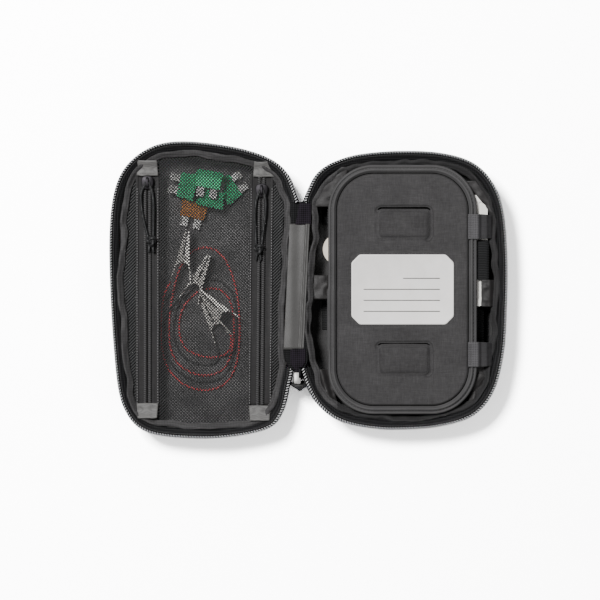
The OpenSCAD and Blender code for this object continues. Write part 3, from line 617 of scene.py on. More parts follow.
def seam_binding(half):
    """The bound edge of the lining, a folded tape that waves in and out under the zip."""
    looser = 1.0 if half.name == "lid" else 1.3

    def profile(x, y):
        sway = looser * (2.4 * half.wave(x, y, 30, 6) + 1.1 * half.wave(x, y, 11, 7))
        tilt = looser * (1.4 * half.wave(x, y, 26, 8) + 0.8 * half.wave(x, y, 8, 12))
        rise = 0.9 * by_spine(x, y, 52)
        outer, inner = 6.2 + max(-1.6, sway), 10.6 + sway + 0.9 * half.wave(x, y, 12, 9)
        high, low = 23.9 + rise + min(1.2, tilt), 21.6 + rise * 0.6 - tilt
        mid, mid_z = (outer + inner) / 2, (high + low) / 2
        return [
            (outer, high - 0.3), (outer + 0.3, high + 0.35), (outer + 1.2, high + 0.45), (mid, mid_z + 1.0),
            (inner - 1.0, low + 0.75), (inner - 0.2, low + 0.6), (inner + 0.1, low + 0.1),
            (inner - 0.5, low - 0.3), (mid, mid_z - 0.7), (outer + 0.8, high - 0.9)
        ]

    obj = piece(f"{half.name}_seam_binding", swept(half.fine_loop, profile), LID_BINDING, half.name,
                [f"{half.name}_binding"])
    # Faces on the base beyond the spine's stretch take the darker copy of the tape: painted shade
    obj.data.materials.append(BASE_BINDING_PAINTED_SHADE)
    for face in obj.data.polygons:
        face.material_index = int(face.center.x > (HINGE_X + SPINE_SIDE) * MM)


def coil_core(path, height, half_w):
    """The cord inside a coil, which its wire is wound on."""
    ring = [(half_w * math.cos(a), height - 0.05 + 0.42 * math.sin(a)) for a in turns(8)]
    return swept(path, lambda x, y: ring, closed=False)


def zipped(x, y):
    """Whether a place on an outline has the zip, which leaves out the spine."""
    return not (abs(x - HINGE_X) < 22 and -55.5 < y < 60.5)


def zip_tape(half):
    """The zip's woven tape, sewn under the binding and leaning out to the coil."""

    def profile(x, y):
        sag = 0.5 * half.wave(x, y, 18, 10)
        return [
            (7.0, 22.9 + sag), (4.4, 24.6 + sag), (2.4, 26.0 + sag * 0.5), (0.6, TAPE_TOP),
            (0.6, TAPE_TOP - 0.5), (2.5, 25.4 + sag * 0.5), (4.6, 24.0 + sag), (7.0, 22.4 + sag)
        ]

    path = stretch(half.fine_loop, zipped)
    piece(f"{half.name}_zip_tape_cloth", swept(path, profile, closed=False), ZIP_TAPE, half.name,
          [f"{half.name}_zip_tape"])


def zip_chain(half):
    """Half of the zip: a nylon coil sewn along the edge of the tape."""
    place, inward = stretch(half.fine_loop, zipped)
    path = (place + inward * 0.95, inward)
    chain = coil(path, COIL_Z, COIL_PITCH, COIL_HALF_W, COIL_HALF_H, WIRE_RADIUS)
    # The chain's light grey is painted highlight on black nylon
    piece(f"{half.name}_zip_coil_chain", chain, COIL, half.name, [f"{half.name}_zip_coil"])
    piece(f"{half.name}_zip_core", coil_core(path, COIL_Z, 0.75), ZIP_TAPE, half.name)
    seam = np.column_stack([place + inward * 2.9, np.full(len(place), 26.2)])
    piece(f"{half.name}_zip_stitching", stitches(seam, 1.5, 1.1, 0.16), THREAD, half.name)


HALVES = [Half("lid", LID_OUTLINE, 0.0), Half("base", BASE_OUTLINE, 11.0)]
for half in HALVES:
    back_panel(half)
    side_wall(half)
    piping(half)
    lining(half)
    seam_binding(half)
    zip_tape(half)
    zip_chain(half)
LID, BASE = HALVES


# ------------------------------------------------------------------ the spine

def spine_cloth(name, material, low_y, high_y, edges, ripple, stands_for):
    """A strip of cloth between the halves. edges(y) gives where it starts and ends across."""
    rows_count = 48
    columns = 26
    rows = []
    for i in range(rows_count + 1):
        y = low_y + (high_y - low_y) * i / rows_count
        left, right = edges(y)
        row = []
        for k in range(columns + 1):
            t = k / columns
            x = HINGE_X + left + (right - left) * t
            row.append((x, y, ripple(t, y)))
        rows.append(slab(row, 0.7))
    obj = piece(name, skin(rows), material, None, stands_for)
    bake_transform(obj)
    return obj


def strip_edges(y):
    """Where the satin strip starts and ends across: it leans a little."""
    share = (y - SPINE_LOW[1]) / (SPINE_HIGH[1] - SPINE_LOW[1])
    return -11.6 + 4.3 * share, 2.6 + 4.2 * share


def strip_ripple(t, y):
    """Soft lengthwise folds, with one sharp fold near the base's side."""
    fold = 1.0 * math.exp(-((t - 0.84) / 0.05) ** 2) - 0.35 * math.exp(-((t - 0.76) / 0.04) ** 2)
    soft = 0.5 * math.sin(t * 6.5 + 0.02 * y + 0.4) + 0.25 * rough(t * 16, y, 0, 14, 3)
    return 25.6 + soft + fold


def patch_ripple(t, y):
    """A shallow crown with small lumps."""
    return 25.7 + 0.5 * math.sin(t * math.pi) + 0.3 * rough(t * 12, y, 0, 6, 4)


spine_strip = spine_cloth("spine_satin_strip", SATIN, SPINE_LOW[1], SPINE_HIGH[1],
                          strip_edges, strip_ripple, ["spine_panel"])
spine_cloth("spine_patch_top", PATCH, SPINE_HIGH[1] - 0.5, 60.5,
            lambda y: (-2.4 + 0.2 * (y - 50), 7.6), patch_ripple, ["spine_end_patches"])
spine_cloth("spine_patch_bottom", PATCH, -59.3, SPINE_LOW[1] + 0.5,
            lambda y: (-6.8 + 5.2 * step(-51, -59.6, y), 3.9 - 5.0 * step(-49.5, -59.6, y)), patch_ripple, [])
spine_cloth("spine_web", ZIP_TAPE, -57.5, 61.5,
            lambda y: (-12 + 0.045 * (y + 57) + 4.6 * step(-46, -57.5, y), 5.6 - 3 * step(-49, -57.5, y)),
            lambda t, y: 24.6 + 0.3 * math.sin(t * 9), [])


# ------------------------------------------------------------------ zip sliders and their pulls

def slider_shape(width, length, low, gap):
    """A slider: two shield-shaped plates, the post between them and the arched bail on top."""
    shape = Shape()
    half_w, half_l = width / 2, length / 2
    shield = through([
        (0, half_l), (half_w * 0.75, half_l * 0.85), (half_w, half_l * 0.2), (half_w * 0.72, -half_l * 0.8),
        (0, -half_l), (-half_w * 0.72, -half_l * 0.8), (-half_w, half_l * 0.2),
        (-half_w * 0.75, half_l * 0.85)
    ], 0.5, closed=True)
    for bottom in (low, low + gap + 1.1):
        rows = []
        for share, z in [(0.9, 0), (1, 0.25), (1, 0.8), (0.88, 1.1), (0.02, 1.15)]:
            rows.append([(x * share, y * share, bottom + z) for x, y in shield])
        shape.add(*skin(rows))
    post_low = (-width * 0.16, half_l - 3.2, low + 0.8)
    post_high = (width * 0.16, half_l - 0.4, low + gap + 1.4)
    shape.add(*rounded_box(post_low, post_high, 0.5))
    return shape


def bail(length, foot, top, width=1.7, thick=0.9):
    """The arch on a slider that holds its pull."""
    path = through([
        (0, length / 2, foot), (0, length / 2 - 0.2, top - 1.0), (0, length / 4, top),
        (0, -length / 4, top), (0, 0.2 - length / 2, top - 1.0), (0, -length / 2, foot)
    ], 0.4)
    corners = [(1, 0.5), (0.7, 1), (-0.7, 1), (-1, 0.5), (-1, -0.5), (-0.7, -1), (0.7, -1), (1, -0.5)]
    rows = []
    for i, point in enumerate(path):
        ahead = path[min(i + 1, len(path) - 1)] - path[max(i - 1, 0)]
        up = np.cross([1.0, 0, 0], ahead)
        up /= np.linalg.norm(up)
        side = np.array([width / 2, 0, 0])
        rows.append([point + side * a + up * thick / 2 * b for a, b in corners])
    return skin(rows)


def slider(name, material, body, stands_for, place, width, length, low, gap, foot, top):
    """A zip slider with its bail, at a place."""
    shape = slider_shape(width, length, low, gap).add(*bail(length * 0.72, foot, top))
    shape.points = [tuple(np.array(p) + np.array([place[0], place[1], 0])) for p in shape.points]
    piece(name, shape, material, body, stands_for)


MAIN_LOW, MAIN_HIGH = box_mm("main_zip_slider")
MAIN_MIDDLE = (MAIN_LOW + MAIN_HIGH) / 2
slider("main_slider_body", MAIN_SLIDER, "base", ["main_zip_slider"], MAIN_MIDDLE, 8, 9.6,
       MAIN_LOW[2], 1.6, MAIN_HIGH[2] - 2.6, MAIN_HIGH[2] - 0.4)


def braided(points, radius, sides=10):
    """A braided cord: a tube whose strands stand out in a crossing spiral."""
    line = through(points, radius * 0.45)
    around, faces = tube(line, 1.0, sides)
    rows = np.array(around).reshape(len(line), sides, 3)
    out = []
    for i, ring in enumerate(rows):
        for k, p in enumerate(ring):
            angle = 2 * math.pi * k / sides
            strand = math.cos(3 * angle + i * 1.1) * math.cos(3 * angle - i * 1.1)
            out.append(tuple(line[i] + (p - line[i]) * radius * (1 + 0.13 * strand)))
    return out, faces


def knot(centre, size, radius):
    """An overhand knot: a trefoil turned so that it lies across the cord."""
    points = []
    for k in range(25):
        t = 2 * math.pi * k / 24
        points.append((
            centre[0] + size * 0.36 * (math.sin(t) + 2 * math.sin(2 * t)) * 0.62,
            centre[1] + size * 0.36 * (math.cos(t) - 2 * math.cos(2 * t)) * 0.62,
            centre[2] - size * 0.3 * math.sin(3 * t),
        ))
    return braided(points, radius)


def link_plate():
    """The slider's flat metal pull."""
    x, y, z = LINK_PIVOT
    middle_x = x - 1.9
    half_w, half_t = 2.4, 0.45
    low = (middle_x - half_w, CORD_PIVOT[1] + 1.4, z - half_t)
    high = (middle_x + half_w, y + 0.9, z + half_t)
    plate = rounded_box(low, high, 1.3, 6)
    piece("main_pull_plate", plate, LINK, "main_pull", ["main_pull_link"])


link_plate()
main_route = through(CORD_PIVOT + np.array([
    (0.2, 0.2, -15), (-3.2, 0.6, -11), (-5, 1.2, -5.5), (-4.4, 0.9, -1.4), (-1.4, -0.5, 0.6),
    (2.4, -0.1, -0.2), (4.4, 1.4, -3.2), (4.2, 1.6, -7), (2.6, 0.8, -11.5), (0.2, 0.2, -14.6)
]), 1.0)
main_knot = Shape().add(*knot(CORD_PIVOT + np.array([0, 0.2, -15.6]), 4.4, 1.3))
for side in (-1, 1):
    main_tail = CORD_PIVOT + np.array([
        (side * 0.8, 0, -16), (side * 1.5, -0.6, -18.4), (side * 1.9, -1.2, -20.6)
    ])
    main_knot.add(*braided(main_tail, 1.15))
main_knot_piece = piece("main_pull_cord_knot", main_knot, CORD, "main_pull_loop")
main_cord = piece("main_pull_cord_loop", braided(main_route, 1.7), CORD, "main_pull_loop",
                  ["main_pull_cord"])


# ------------------------------------------------------------------ the page

def rounded_half_width(y, width, length, radius):
    """Half the width of a rounded rectangle at a distance along it."""
    past = abs(y) - (length / 2 - radius)
    if past <= 0:
        return width / 2
    return width / 2 - radius + math.sqrt(max(0.0, radius ** 2 - past ** 2))


def rectangle_distance(x, y, half_w, half_l, radius):
    """How far a point is outside a rounded rectangle, negative inside."""
    dx, dy = abs(x) - half_w + radius, abs(y) - half_l + radius
    return math.hypot(max(dx, 0), max(dy, 0)) + min(max(dx, dy), 0) - radius


PAGE_MID_X = (PAGE_LOW[0] + PAGE_HIGH[0]) / 2
PAGE_W, PAGE_L = PAGE_HIGH[0] - PAGE_LOW[0], PAGE_HIGH[1] - PAGE_LOW[1]
PAGE_R = 32.0
BINDING_W = 5.4
COVER_TOP = COVER_HIGH[2] - 0.6
PADS = [(1.0, 46.0), (1.0, -49.0)]


def cover_height(x, y):
    """The cover's height: two pressed pads with a groove round each, and a bed for the label."""
    z = COVER_TOP + 0.12 * rough(x, y, 0, 30, 12)
    for px, py in PADS:
        d = rectangle_distance(x - px, y - py, 17.4, 9.6, 2.2)
        deeper = 0.4 + 1.4 * max(step(7, 10.5, y - py), 0.75 * step(14, 18, x - px))
        z += 0.5 * step(1.8, -1.8, d) - 0.8 * deeper * math.exp(-((d - 1.4) / 1.7) ** 2)
    bed = rectangle_distance(x - (LABEL_LOW[0] + LABEL_HIGH[0]) / 2 + PAGE_MID_X, y, 37, 25.6, 4)
    z -= 0.25 * math.exp(-(bed / 0.9) ** 2)
    edge = rectangle_distance(x, y, PAGE_W / 2 - BINDING_W, PAGE_L / 2 - BINDING_W, PAGE_R - BINDING_W)
    return z - 1.9 * step(-2.0, 0.2, edge)


def page_cover():
    """The page's moulded face, denser where it curves, on a flat underside."""
    width, length, radius = PAGE_W - 2 * BINDING_W, PAGE_L - 2 * BINDING_W, PAGE_R - BINDING_W
    ny, nx = 200, 116
    rows = []
    for i in range(ny + 1):
        y = -math.cos(math.pi * (0.06 + 0.88 * i / ny)) / math.cos(math.pi * 0.06) * length / 2
        half_w = rounded_half_width(y, width, length, radius)
        rows.append([
            (x, y, cover_height(x, y)) for x in (half_w * (2 * k / nx - 1) for k in range(nx + 1))
        ])
    points, faces = skin(rows, closed_around=False)
    rim = list(range(nx + 1)) + [(i + 1) * (nx + 1) + nx for i in range(ny)]
    rim += [ny * (nx + 1) + k for k in range(nx - 1, -1, -1)] + [i * (nx + 1) for i in range(ny - 1, 0, -1)]
    first = len(points)
    points += [(points[i][0], points[i][1], COVER_LOW[2]) for i in rim]
    for k, i in enumerate(rim):
        n = (k + 1) % len(rim)
        faces.append((i, first + k, first + n, rim[n]))
    faces.append(tuple(first + k for k in range(len(rim))))
    points = [(x + PAGE_MID_X, y, z) for x, y, z in points]
    return piece("page_cover_cloth", (points, faces), PAGE_CLOTH, "page", ["page_cover"])


def page_loop(inset, spacing=1.2):
    """The page's outline, moved inward, as places and inward directions."""
    width, length, radius = PAGE_W / 2 - inset, PAGE_L / 2 - inset, PAGE_R - inset
    place, inward = [], []
    for k, (cx, cy) in enumerate([(1, 1), (-1, 1), (-1, -1), (1, -1)]):
        steps = int(radius * math.pi / 2 / spacing) + 2
        for s in range(steps + 1):
            a = math.pi / 2 * (k + s / steps)
            place.append((cx * (width - radius) + radius * math.cos(a) + PAGE_MID_X,
                          cy * (length - radius) + radius * math.sin(a)))
            inward.append((-math.cos(a), -math.sin(a)))
        end = np.array(place[-1])
        next_x, next_y = [(-1, 1), (-1, -1), (1, -1), (1, 1)][k]
        a = math.pi / 2 * (k + 1)
        start = np.array([next_x * (width - radius) + radius * math.cos(a) + PAGE_MID_X,
                          next_y * (length - radius) + radius * math.sin(a)])
        parts = max(2, int(np.linalg.norm(start - end) / 2.0))
        for s in range(1, parts):
            place.append(tuple(end + (start - end) * s / parts))
            inward.append((-math.cos(a), -math.sin(a)))
    return np.array(place), np.array(inward)


def page_binding():
    """The page's bound edge: an outer fold, a stitched valley and a rounder inner fold."""

    def profile(x, y):
        w = 0.25 * rough(x, y, 0, 18, 21)
        overlap = step(1.4, 0.2, y) * step(-44, -40, y) if x < PAGE_MID_X else 0.0
        top = PAGE_HIGH[2] + 0.35 * overlap
        return [
            (0.0, PAGE_LOW[2] + 0.5), (-0.1 - 0.7 * overlap, PAGE_LOW[2] + 1.4),
            (0.3 - 0.6 * overlap, top - 0.9 + w), (1.1, top - 0.5 + w), (1.7, top - 0.9 + w),
            (2.1, top - 1.9), (2.5, top - 0.8), (3.0, top - 0.05 + w), (3.8, top + 0.1 + w),
            (4.4, top - 0.3), (4.8, top - 1.2), (6.2, PAGE_LOW[2] + 1.0), (6.2, PAGE_LOW[2] + 0.5),
            (5.0, PAGE_LOW[2] + 0.1), (0.6, PAGE_LOW[2] + 0.1)
        ]

    piece("page_binding_folds", swept(page_loop(0), profile), PAGE_TAPE, "page",
          ["page_binding"])
    valley = page_loop(2.3)[0]
    line = np.column_stack([valley, np.full(len(valley), PAGE_HIGH[2] - 1.2)])
    piece("page_binding_stitching", stitches(line, 2.4, 1.6, 0.22), THREAD, "page")


def page_label():
    """A card with its corners cut off and a fine raised rim."""
    low, high = LABEL_LOW, LABEL_HIGH
    cut = 5.6
    middle = (low + high) / 2

    def corners(inset):
        x, y = (high - low)[:2] / 2 - inset
        c = cut - inset * 0.4
        ring = [(x, y - c), (x - c, y), (-x + c, y), (-x, y - c),
                (-x, -y + c), (-x + c, -y), (x - c, -y), (x, -y + c)]
        soft = []
        for i, p in enumerate(ring):
            before, after = np.array(ring[i - 1]), np.array(ring[(i + 1) % 8])
            p = np.array(p)
            for t in (0, 0.5, 1):
                a = p + (before - p) / np.linalg.norm(before - p) * 1.2
                b = p + (after - p) / np.linalg.norm(after - p) * 1.2
                soft.append(tuple((1 - t) ** 2 * a + 2 * t * (1 - t) * p + t * t * b + middle[:2]))
        return soft

    levels = [(0.1, low[2] - 0.3), (0, low[2] + 0.15), (0.25, high[2] + 0.16), (0.9, high[2] + 0.14),
              (1.3, high[2] - 0.02)]
    rows = [[(x, y, z) for x, y in corners(inset)] for inset, z in levels]
    piece("page_label_card", skin(rows), LABEL, "page", ["page_label"])
    rules = Shape()
    top_line, spacing, right = 7.8, 7.7, 26.2
    for k in range(4):
        left = 0.2 if k == 0 else -27.4
        y = top_line - k * spacing
        rule_low = (middle[0] + left, y - 0.34, high[2] - 0.1)
        rule_high = (middle[0] + right, y + 0.34, high[2] + 0.03)
        rules.add(*rounded_box(rule_low, rule_high, 0.3, 2))
    piece("page_label_rules", rules, RULE, "page")


page_cover()
page_binding()
page_label()


def hinge_webbing(name, y, width):
    """A webbing hinge of the page: from its binding, over the pivot, to the wall."""
    start, end = PAGE_HIGH[0] - 6.2, PAGE_PIVOT[0] + 4.2
    rows = []
    for i in range(33):
        x = start + (end - start) * i / 32
        t = (x - PAGE_HIGH[0]) / (end - PAGE_HIGH[0])
        z = PAGE_HIGH[2] + 0.75
        if x >= PAGE_HIGH[0] - 0.8:
            z = z - 1.6 * step(0, 0.35, t) - 2.6 * step(0.6, 1, t)
        flare = 1 - 0.06 * step(0.2, 1, t)
        row = []
        for k in range(25):
            s = k / 24 * 2 - 1
            rib = 0.09 * math.cos(s * 40) + 0.05 * math.cos(i * 2.4 + s * 9)
            row.append((x, y + s * width / 2 * flare, z + rib))
        rows.append(slab(row, 1.1))
    obj = piece(name, skin(rows), WEBBING, None)
    # Faces past the page's binding get the darker copy of the webbing: painted shade where the strap drops
    # towards the wall
    obj.data.materials.append(WEBBING_PAINTED_SHADE)
    for face in obj.data.polygons:
        face.material_index = int(face.center.x > (PAGE_HIGH[0] + 1.2) * MM)
    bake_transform(obj)
    seams = Shape()
    seam_z = PAGE_HIGH[2] + 0.85
    for x in (start + 0.9, start + 1.9):
        line = [(x, y - width / 2 + 0.8, seam_z), (x, y, seam_z), (x, y + width / 2 - 0.8, seam_z)]
        row = stitches(line, 1.5, 1.0, 0.18)
        seams.add(row.points, row.faces)
    piece(f"{name}_stitching", seams, THREAD, "page")
    return obj


TABS_LOW, TABS_HIGH = box_mm("page_hinge_tabs")
WEBBING_WIDTH = 17.5
webs = [hinge_webbing("page_hinge_webbing_top", TABS_HIGH[1] - 8.5, WEBBING_WIDTH),
        hinge_webbing("page_hinge_webbing_bottom", TABS_LOW[1] + 8.5, WEBBING_WIDTH)]
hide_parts("page_hinge_tabs", "page_hinge_anchors")


# ------------------------------------------------------------------ elastic loops in the base

def elastic(name, nodes, bands):
    """Ribbed elastic straps: flat on the floor, up a side, over the top and down again."""
    shape = Shape()
    bottom = 3.9
    for x, width, top, low_y, high_y, foot in bands:
        half_w = width / 2 + 0.75
        right = [
            (half_w / 2, top + 0.75), (half_w - 1.6, top + 0.6), (half_w, top - 2.2),
            (half_w + 0.1, bottom + 2.4), (half_w + 1.5, bottom + 0.6), (half_w + foot - 0.5, bottom + 0.5)
        ]
        left = [(-across, z) for across, z in right[::-1]]
        path = through([(x + across, z) for across, z in [*left, (0, top + 0.8), *right]], 1.6)
        ahead = np.gradient(path, axis=0)
        ahead /= np.linalg.norm(ahead, axis=1)[:, None]
        outward = np.column_stack([-ahead[:, 1], ahead[:, 0]])
        ribs = int((high_y - low_y) / 0.42)
        rows = []
        for (px, pz), (ox, oz) in zip(path, outward):
            upper, lower = [], []
            for k in range(ribs + 1):
                y = low_y + (high_y - low_y) * k / ribs
                lift = 0.42 + 0.3 * math.cos(k * math.pi / 2)
                upper.append((px + ox * lift, y, pz + oz * lift))
                lower.append((px - ox * 0.4, y, pz - oz * 0.4))
            rows.append(upper + lower[::-1])
        shape.add(*skin(rows))
    piece(name, shape, ELASTIC, "base", nodes)


PROBE_LOW, PROBE_HIGH = box_mm("probe_front_shell")
TONER_LOW, TONER_HIGH = box_mm("toner_front_shell")
PROBE_X = (PROBE_LOW[0] + PROBE_HIGH[0]) / 2
TONER_X = (TONER_LOW[0] + TONER_HIGH[0]) / 2
probe_w, toner_w = PROBE_HIGH[0] - PROBE_LOW[0], TONER_HIGH[0] - TONER_LOW[0]
elastic("elastic_straps_left", ["elastic_loops_left"],
        [(PROBE_X, probe_w, PROBE_HIGH[2], 46, 66, 5), (PROBE_X, probe_w, PROBE_HIGH[2], -28, -8, 5)])
elastic("elastic_straps_right", ["elastic_loops_right"],
        [(TONER_X, toner_w, TONER_HIGH[2], 6.6, 34.6, 2), (TONER_X, toner_w - 6, 13, -38, -14, 4.5)])


# ------------------------------------------------------------------ loose folds of lining beside the page

def wall_x(y, side):
    """Where the base's wall ends inside, across from the spine's middle, at its right (1) or left (-1)."""
    near = [x for x, at in BASE.loop[0] if abs(at - y) < 2]
    return (max(near) if side > 0 else min(near)) - HINGE_X - side * 5.0


def flap(name, low_y, high_y, outer, inner, height, seed):
    """A fold of lining from the wall towards the page. outer(y) and inner(y) are its edges across."""
    rows = []
    for y in np.linspace(low_y, high_y, max(8, int((high_y - low_y) / 0.7))):
        top = []
        for k in range(15):
            t = k / 14
            x = HINGE_X + outer(y) + (inner(y) - outer(y)) * t
            crease = 0.7 * ridged(x, y, 0, 9, seed) + 0.4 * rough(x, y, 0, 4, seed)
            top.append((x, y, height(t, y) + crease * min(1.0, 0.3 + t)))
        under = [(x, y, z - 0.6) for x, y, z in top]
        under[-1] = (under[-1][0], y, under[-1][2] - 0.3)
        rows.append(top + under[::-1])
    piece(name, skin(rows), FLAP, "base")


flap("lining_fold_top_right", 50.5, 76, lambda y: wall_x(y, 1), lambda y: 134.5 - (y - 52.5) * 0.8,
     lambda t, y: 21.8 + 1.4 * math.sin(t * 2.6), 61)
flap("lining_fold_middle_right", -12.0, 6.8, lambda y: 136.2, lambda y: 127.0 + 0.3 * rough(0, y, 0, 5, 3),
     lambda t, y: 21.6 + 2.6 * step(0, 0.36, t) - 0.5 * step(0.6, 1, t), 62)
flap("lining_fold_low_right", -80, -42, lambda y: wall_x(y, 1), lambda y: 122.5 + 0.12 * (y + 42),
     lambda t, y: 18.5 + 3.4 * math.sin(t * 2.2) + 0.8 * math.sin(y * 0.5 + t * 3), 63)
flap("lining_fold_left_square", -6.7, 10.1, lambda y: 8.6, lambda y: 19.6,
     lambda t, y: 21.2 + 0.8 * math.sin(t * 3), 64)
flap("lining_fold_left_low", -84, -56, lambda y: wall_x(y, -1), lambda y: 20.4 - 0.25 * (y + 56),
     lambda t, y: 19.2 + 3.4 * math.exp(-((t - 0.6) / 0.16) ** 2), 66)
flap("lining_fold_top_left", 58, 86, lambda y: wall_x(y, -1), lambda y: 26 + 0.3 * (y - 58),
     lambda t, y: 22.2 + 1.0 * t + 0.4 * math.sin(t * 5 + y * 0.2), 67)


# ------------------------------------------------------------------ the mesh pocket

LEFT_ZIP = (TAPES_LOW[0] + 7, TAPES_LOW[0] + 7)
RIGHT_ZIP = (TAPES_HIGH[0] - 7 + 2.2, TAPES_HIGH[0] - 7 + 0.8)
ZIP_END = TAPES_HIGH[1]


def zip_middle(zip_line, y):
    """Where a pocket zip's middle is across the case, at a distance along it."""
    share = (y + ZIP_END) / (2 * ZIP_END)
    return zip_line[1] + (zip_line[0] - zip_line[1]) * share


def lid_inset(x, y):
    """How far a place is inside the lid's outline, roughly."""
    place, inward = LID.loop
    away = place - np.array([x, y])
    i = int(np.argmin((away ** 2).sum(axis=1)))
    return float(-(away[i] * inward[i]).sum())


def net_height(x, y):
    """The mesh is stretched flat, and stands a little proud over the fuses and clips."""
    over_fuses = math.exp(-((x + 69) ** 2 + (y - 70) ** 2) / 500)
    over_clips = math.exp(-((x + 68) / 16) ** 2 - ((y + 4) / 26) ** 2)
    return MESH_Z + 0.1 + 0.7 * over_fuses + 0.5 * over_clips + 0.3 * rough(x, y, 0, 22, 31)


def net(name, stands_for, low, high, inside, pitch=1.6, half_w=0.37, half_t=0.14):
    """Two crossing families of slanting threads, kept where inside(x, y) is true."""
    shape = Shape()
    spacing = pitch * math.sqrt(2)
    for lean in (1, -1):
        for start in np.arange(low[1] - (high[0] - low[0]), high[1] + (high[0] - low[0]), spacing):
            run = []
            for x in np.arange(low[0], high[0] + 0.01, 1.5):
                y = start + lean * (x - low[0])
                if low[1] <= y <= high[1] and inside(x, y):
                    run.append((x, y, net_height(x, y) + 0.06 * lean))
                elif run:
                    add_thread(shape, run, lean, half_w, half_t)
                    run = []
            add_thread(shape, run, lean, half_w, half_t)
    return piece(name, shape, NET, "lid", stands_for)


def add_thread(shape, run, lean, half_w, half_t):
    """One flat thread of the net through a run of places."""
    if len(run) < 2:
        return
    side = np.array([-lean, 1.0, 0]) / math.sqrt(2) * half_w
    rows = []
    for p in run:
        p = np.array(p)
        rows.append([p + side, p + UP * half_t, p - side, p - UP * half_t])
    shape.add(*skin(rows))


# How far the net reaches under a zip's tape, from its middle, and under the lid's binding
UNDER_TAPE = 4.5
UNDER_BINDING = 8.2


def in_centre(x, y):
    left, right = zip_middle(LEFT_ZIP, y) + UNDER_TAPE, zip_middle(RIGHT_ZIP, y) - UNDER_TAPE
    return left < x < right and lid_inset(x, y) > UNDER_BINDING


def in_left_strip(x, y):
    return x < zip_middle(LEFT_ZIP, y) - UNDER_TAPE and lid_inset(x, y) > UNDER_BINDING


def in_right_strip(x, y):
    return x > zip_middle(RIGHT_ZIP, y) + UNDER_TAPE and lid_inset(x, y) > UNDER_BINDING


centre_net = net("pocket_net_centre", ["mesh_panel"], (-108, -100), (-24, 100), in_centre)
left_net = net("pocket_net_left_strip", ["mesh_side_panels"], (-136, -84), (-108, 84), in_left_strip,
               half_w=0.66)
right_net = net("pocket_net_right_strip", [], (-36, -84), (-6, 84), in_right_strip, half_w=0.66)


def net_hem(name, zip_line, side):
    """The mesh's turned edge beside a zip tape: a narrow bound strip."""
    rows = []
    for y in np.linspace(-ZIP_END, ZIP_END, 90):
        x = zip_middle(zip_line, y) + side * (7.3 + 0.3 * rough(x=0, y=y, z=0, size=20, seed=side * 3))
        z = MESH_Z + 0.75
        rows.append([(x - 0.9, y, z - 0.25), (x - 0.6, y, z + 0.3), (x, y, z + 0.42),
                     (x + 0.6, y, z + 0.3), (x + 0.9, y, z - 0.25), (x, y, z - 0.4)])
    piece(name, skin(rows), POCKET_TAPE, "lid")
    line = [(x, y, z + 0.1) for (x, y, z) in (row[2] for row in rows[::6])]
    piece(f"{name}_stitching", stitches(line, 1.9, 0.9, 0.24), HEM_THREAD, "lid")


def pocket_tape(shape, zip_line, side, seed):
    """One of a zip's two tapes, with a lifted, gently waving outer edge."""
    rows = []
    for y in np.linspace(-ZIP_END, ZIP_END, 110):
        x = zip_middle(zip_line, y)
        ends = step(0, 26, ZIP_END - abs(y))
        bow = 0.9 * rough(0, y, 0, 24, seed) * ends
        lift = 0.8 * max(0.0, rough(0, y, 0, 30, seed + 2)) * ends
        width = 7.2 + bow
        top = []
        for t in (0, 0.12, 0.3, 0.5, 0.7, 0.86, 0.94, 1):
            z = TAPES_HIGH[2] - 0.35 + lift * t * t + 0.12 * math.sin(t * 9)
            top.append((x + side * (0.15 + width * t), y, z))
        rows.append(slab(top, 0.5))
    shape.add(*skin(rows))


tapes = Shape()
for number, zip_line in enumerate((LEFT_ZIP, RIGHT_ZIP)):
    for side in (-1, 1):
        pocket_tape(tapes, zip_line, side, 40 + 5 * number + side)
        hand = ("left", "right")[number]
        edge = "inner" if side == (1, -1)[number] else "outer"
        net_hem(f"net_hem_{hand}_{edge}", zip_line, side)
piece("pocket_zip_tape_pair", tapes, POCKET_TAPE, "lid", ["pocket_zip_tapes"])

chains = Shape()
cores = Shape()
for zip_line in (LEFT_ZIP, RIGHT_ZIP):
    for side in (-1, 1):
        ys = np.linspace(-ZIP_END, ZIP_END, 160)
        place = np.column_stack([[zip_middle(zip_line, y) + side * 1.6 for y in ys], ys])
        across = np.tile([1.0, 0], (len(ys), 1))
        chains.add(*coil((place, across), TAPES_HIGH[2] + 0.75, 1.5, 0.95, 0.45, 0.28,
                         phase=math.pi * (side > 0)))
        cores.add(*coil_core((place, across), TAPES_HIGH[2] + 0.7, 1.0))
piece("pocket_zip_chains", chains, POCKET_COIL, "lid", ["pocket_zip_coils"])
piece("pocket_zip_cores", cores, POCKET_TAPE, "lid")


def end_tab(shape, x, y, side, seed):
    """A satin tab folded over the end of a pocket zip."""
    rows = []
    for i in range(19):
        t = i / 18
        yy = y + side * (t * 10.5 - 1.4)
        z = MESH_Z + 2.6 + 2.3 * step(0.3, 0.9, t) + 0.4 * math.sin(t * 7)
        row = []
        for k in range(17):
            s = k / 16 * 2 - 1
            width = 7.6 - 0.8 * t
            crease = 0.35 * rough(s * 6, yy, 0, 4, seed) + 0.3 * math.cos(s * 2.4)
            row.append((x + s * width, yy + 0.4 * rough(s * 5, 0, 0, 3, seed), z + crease))
        rows.append(slab(row, 0.7))
    shape.add(*skin(rows))


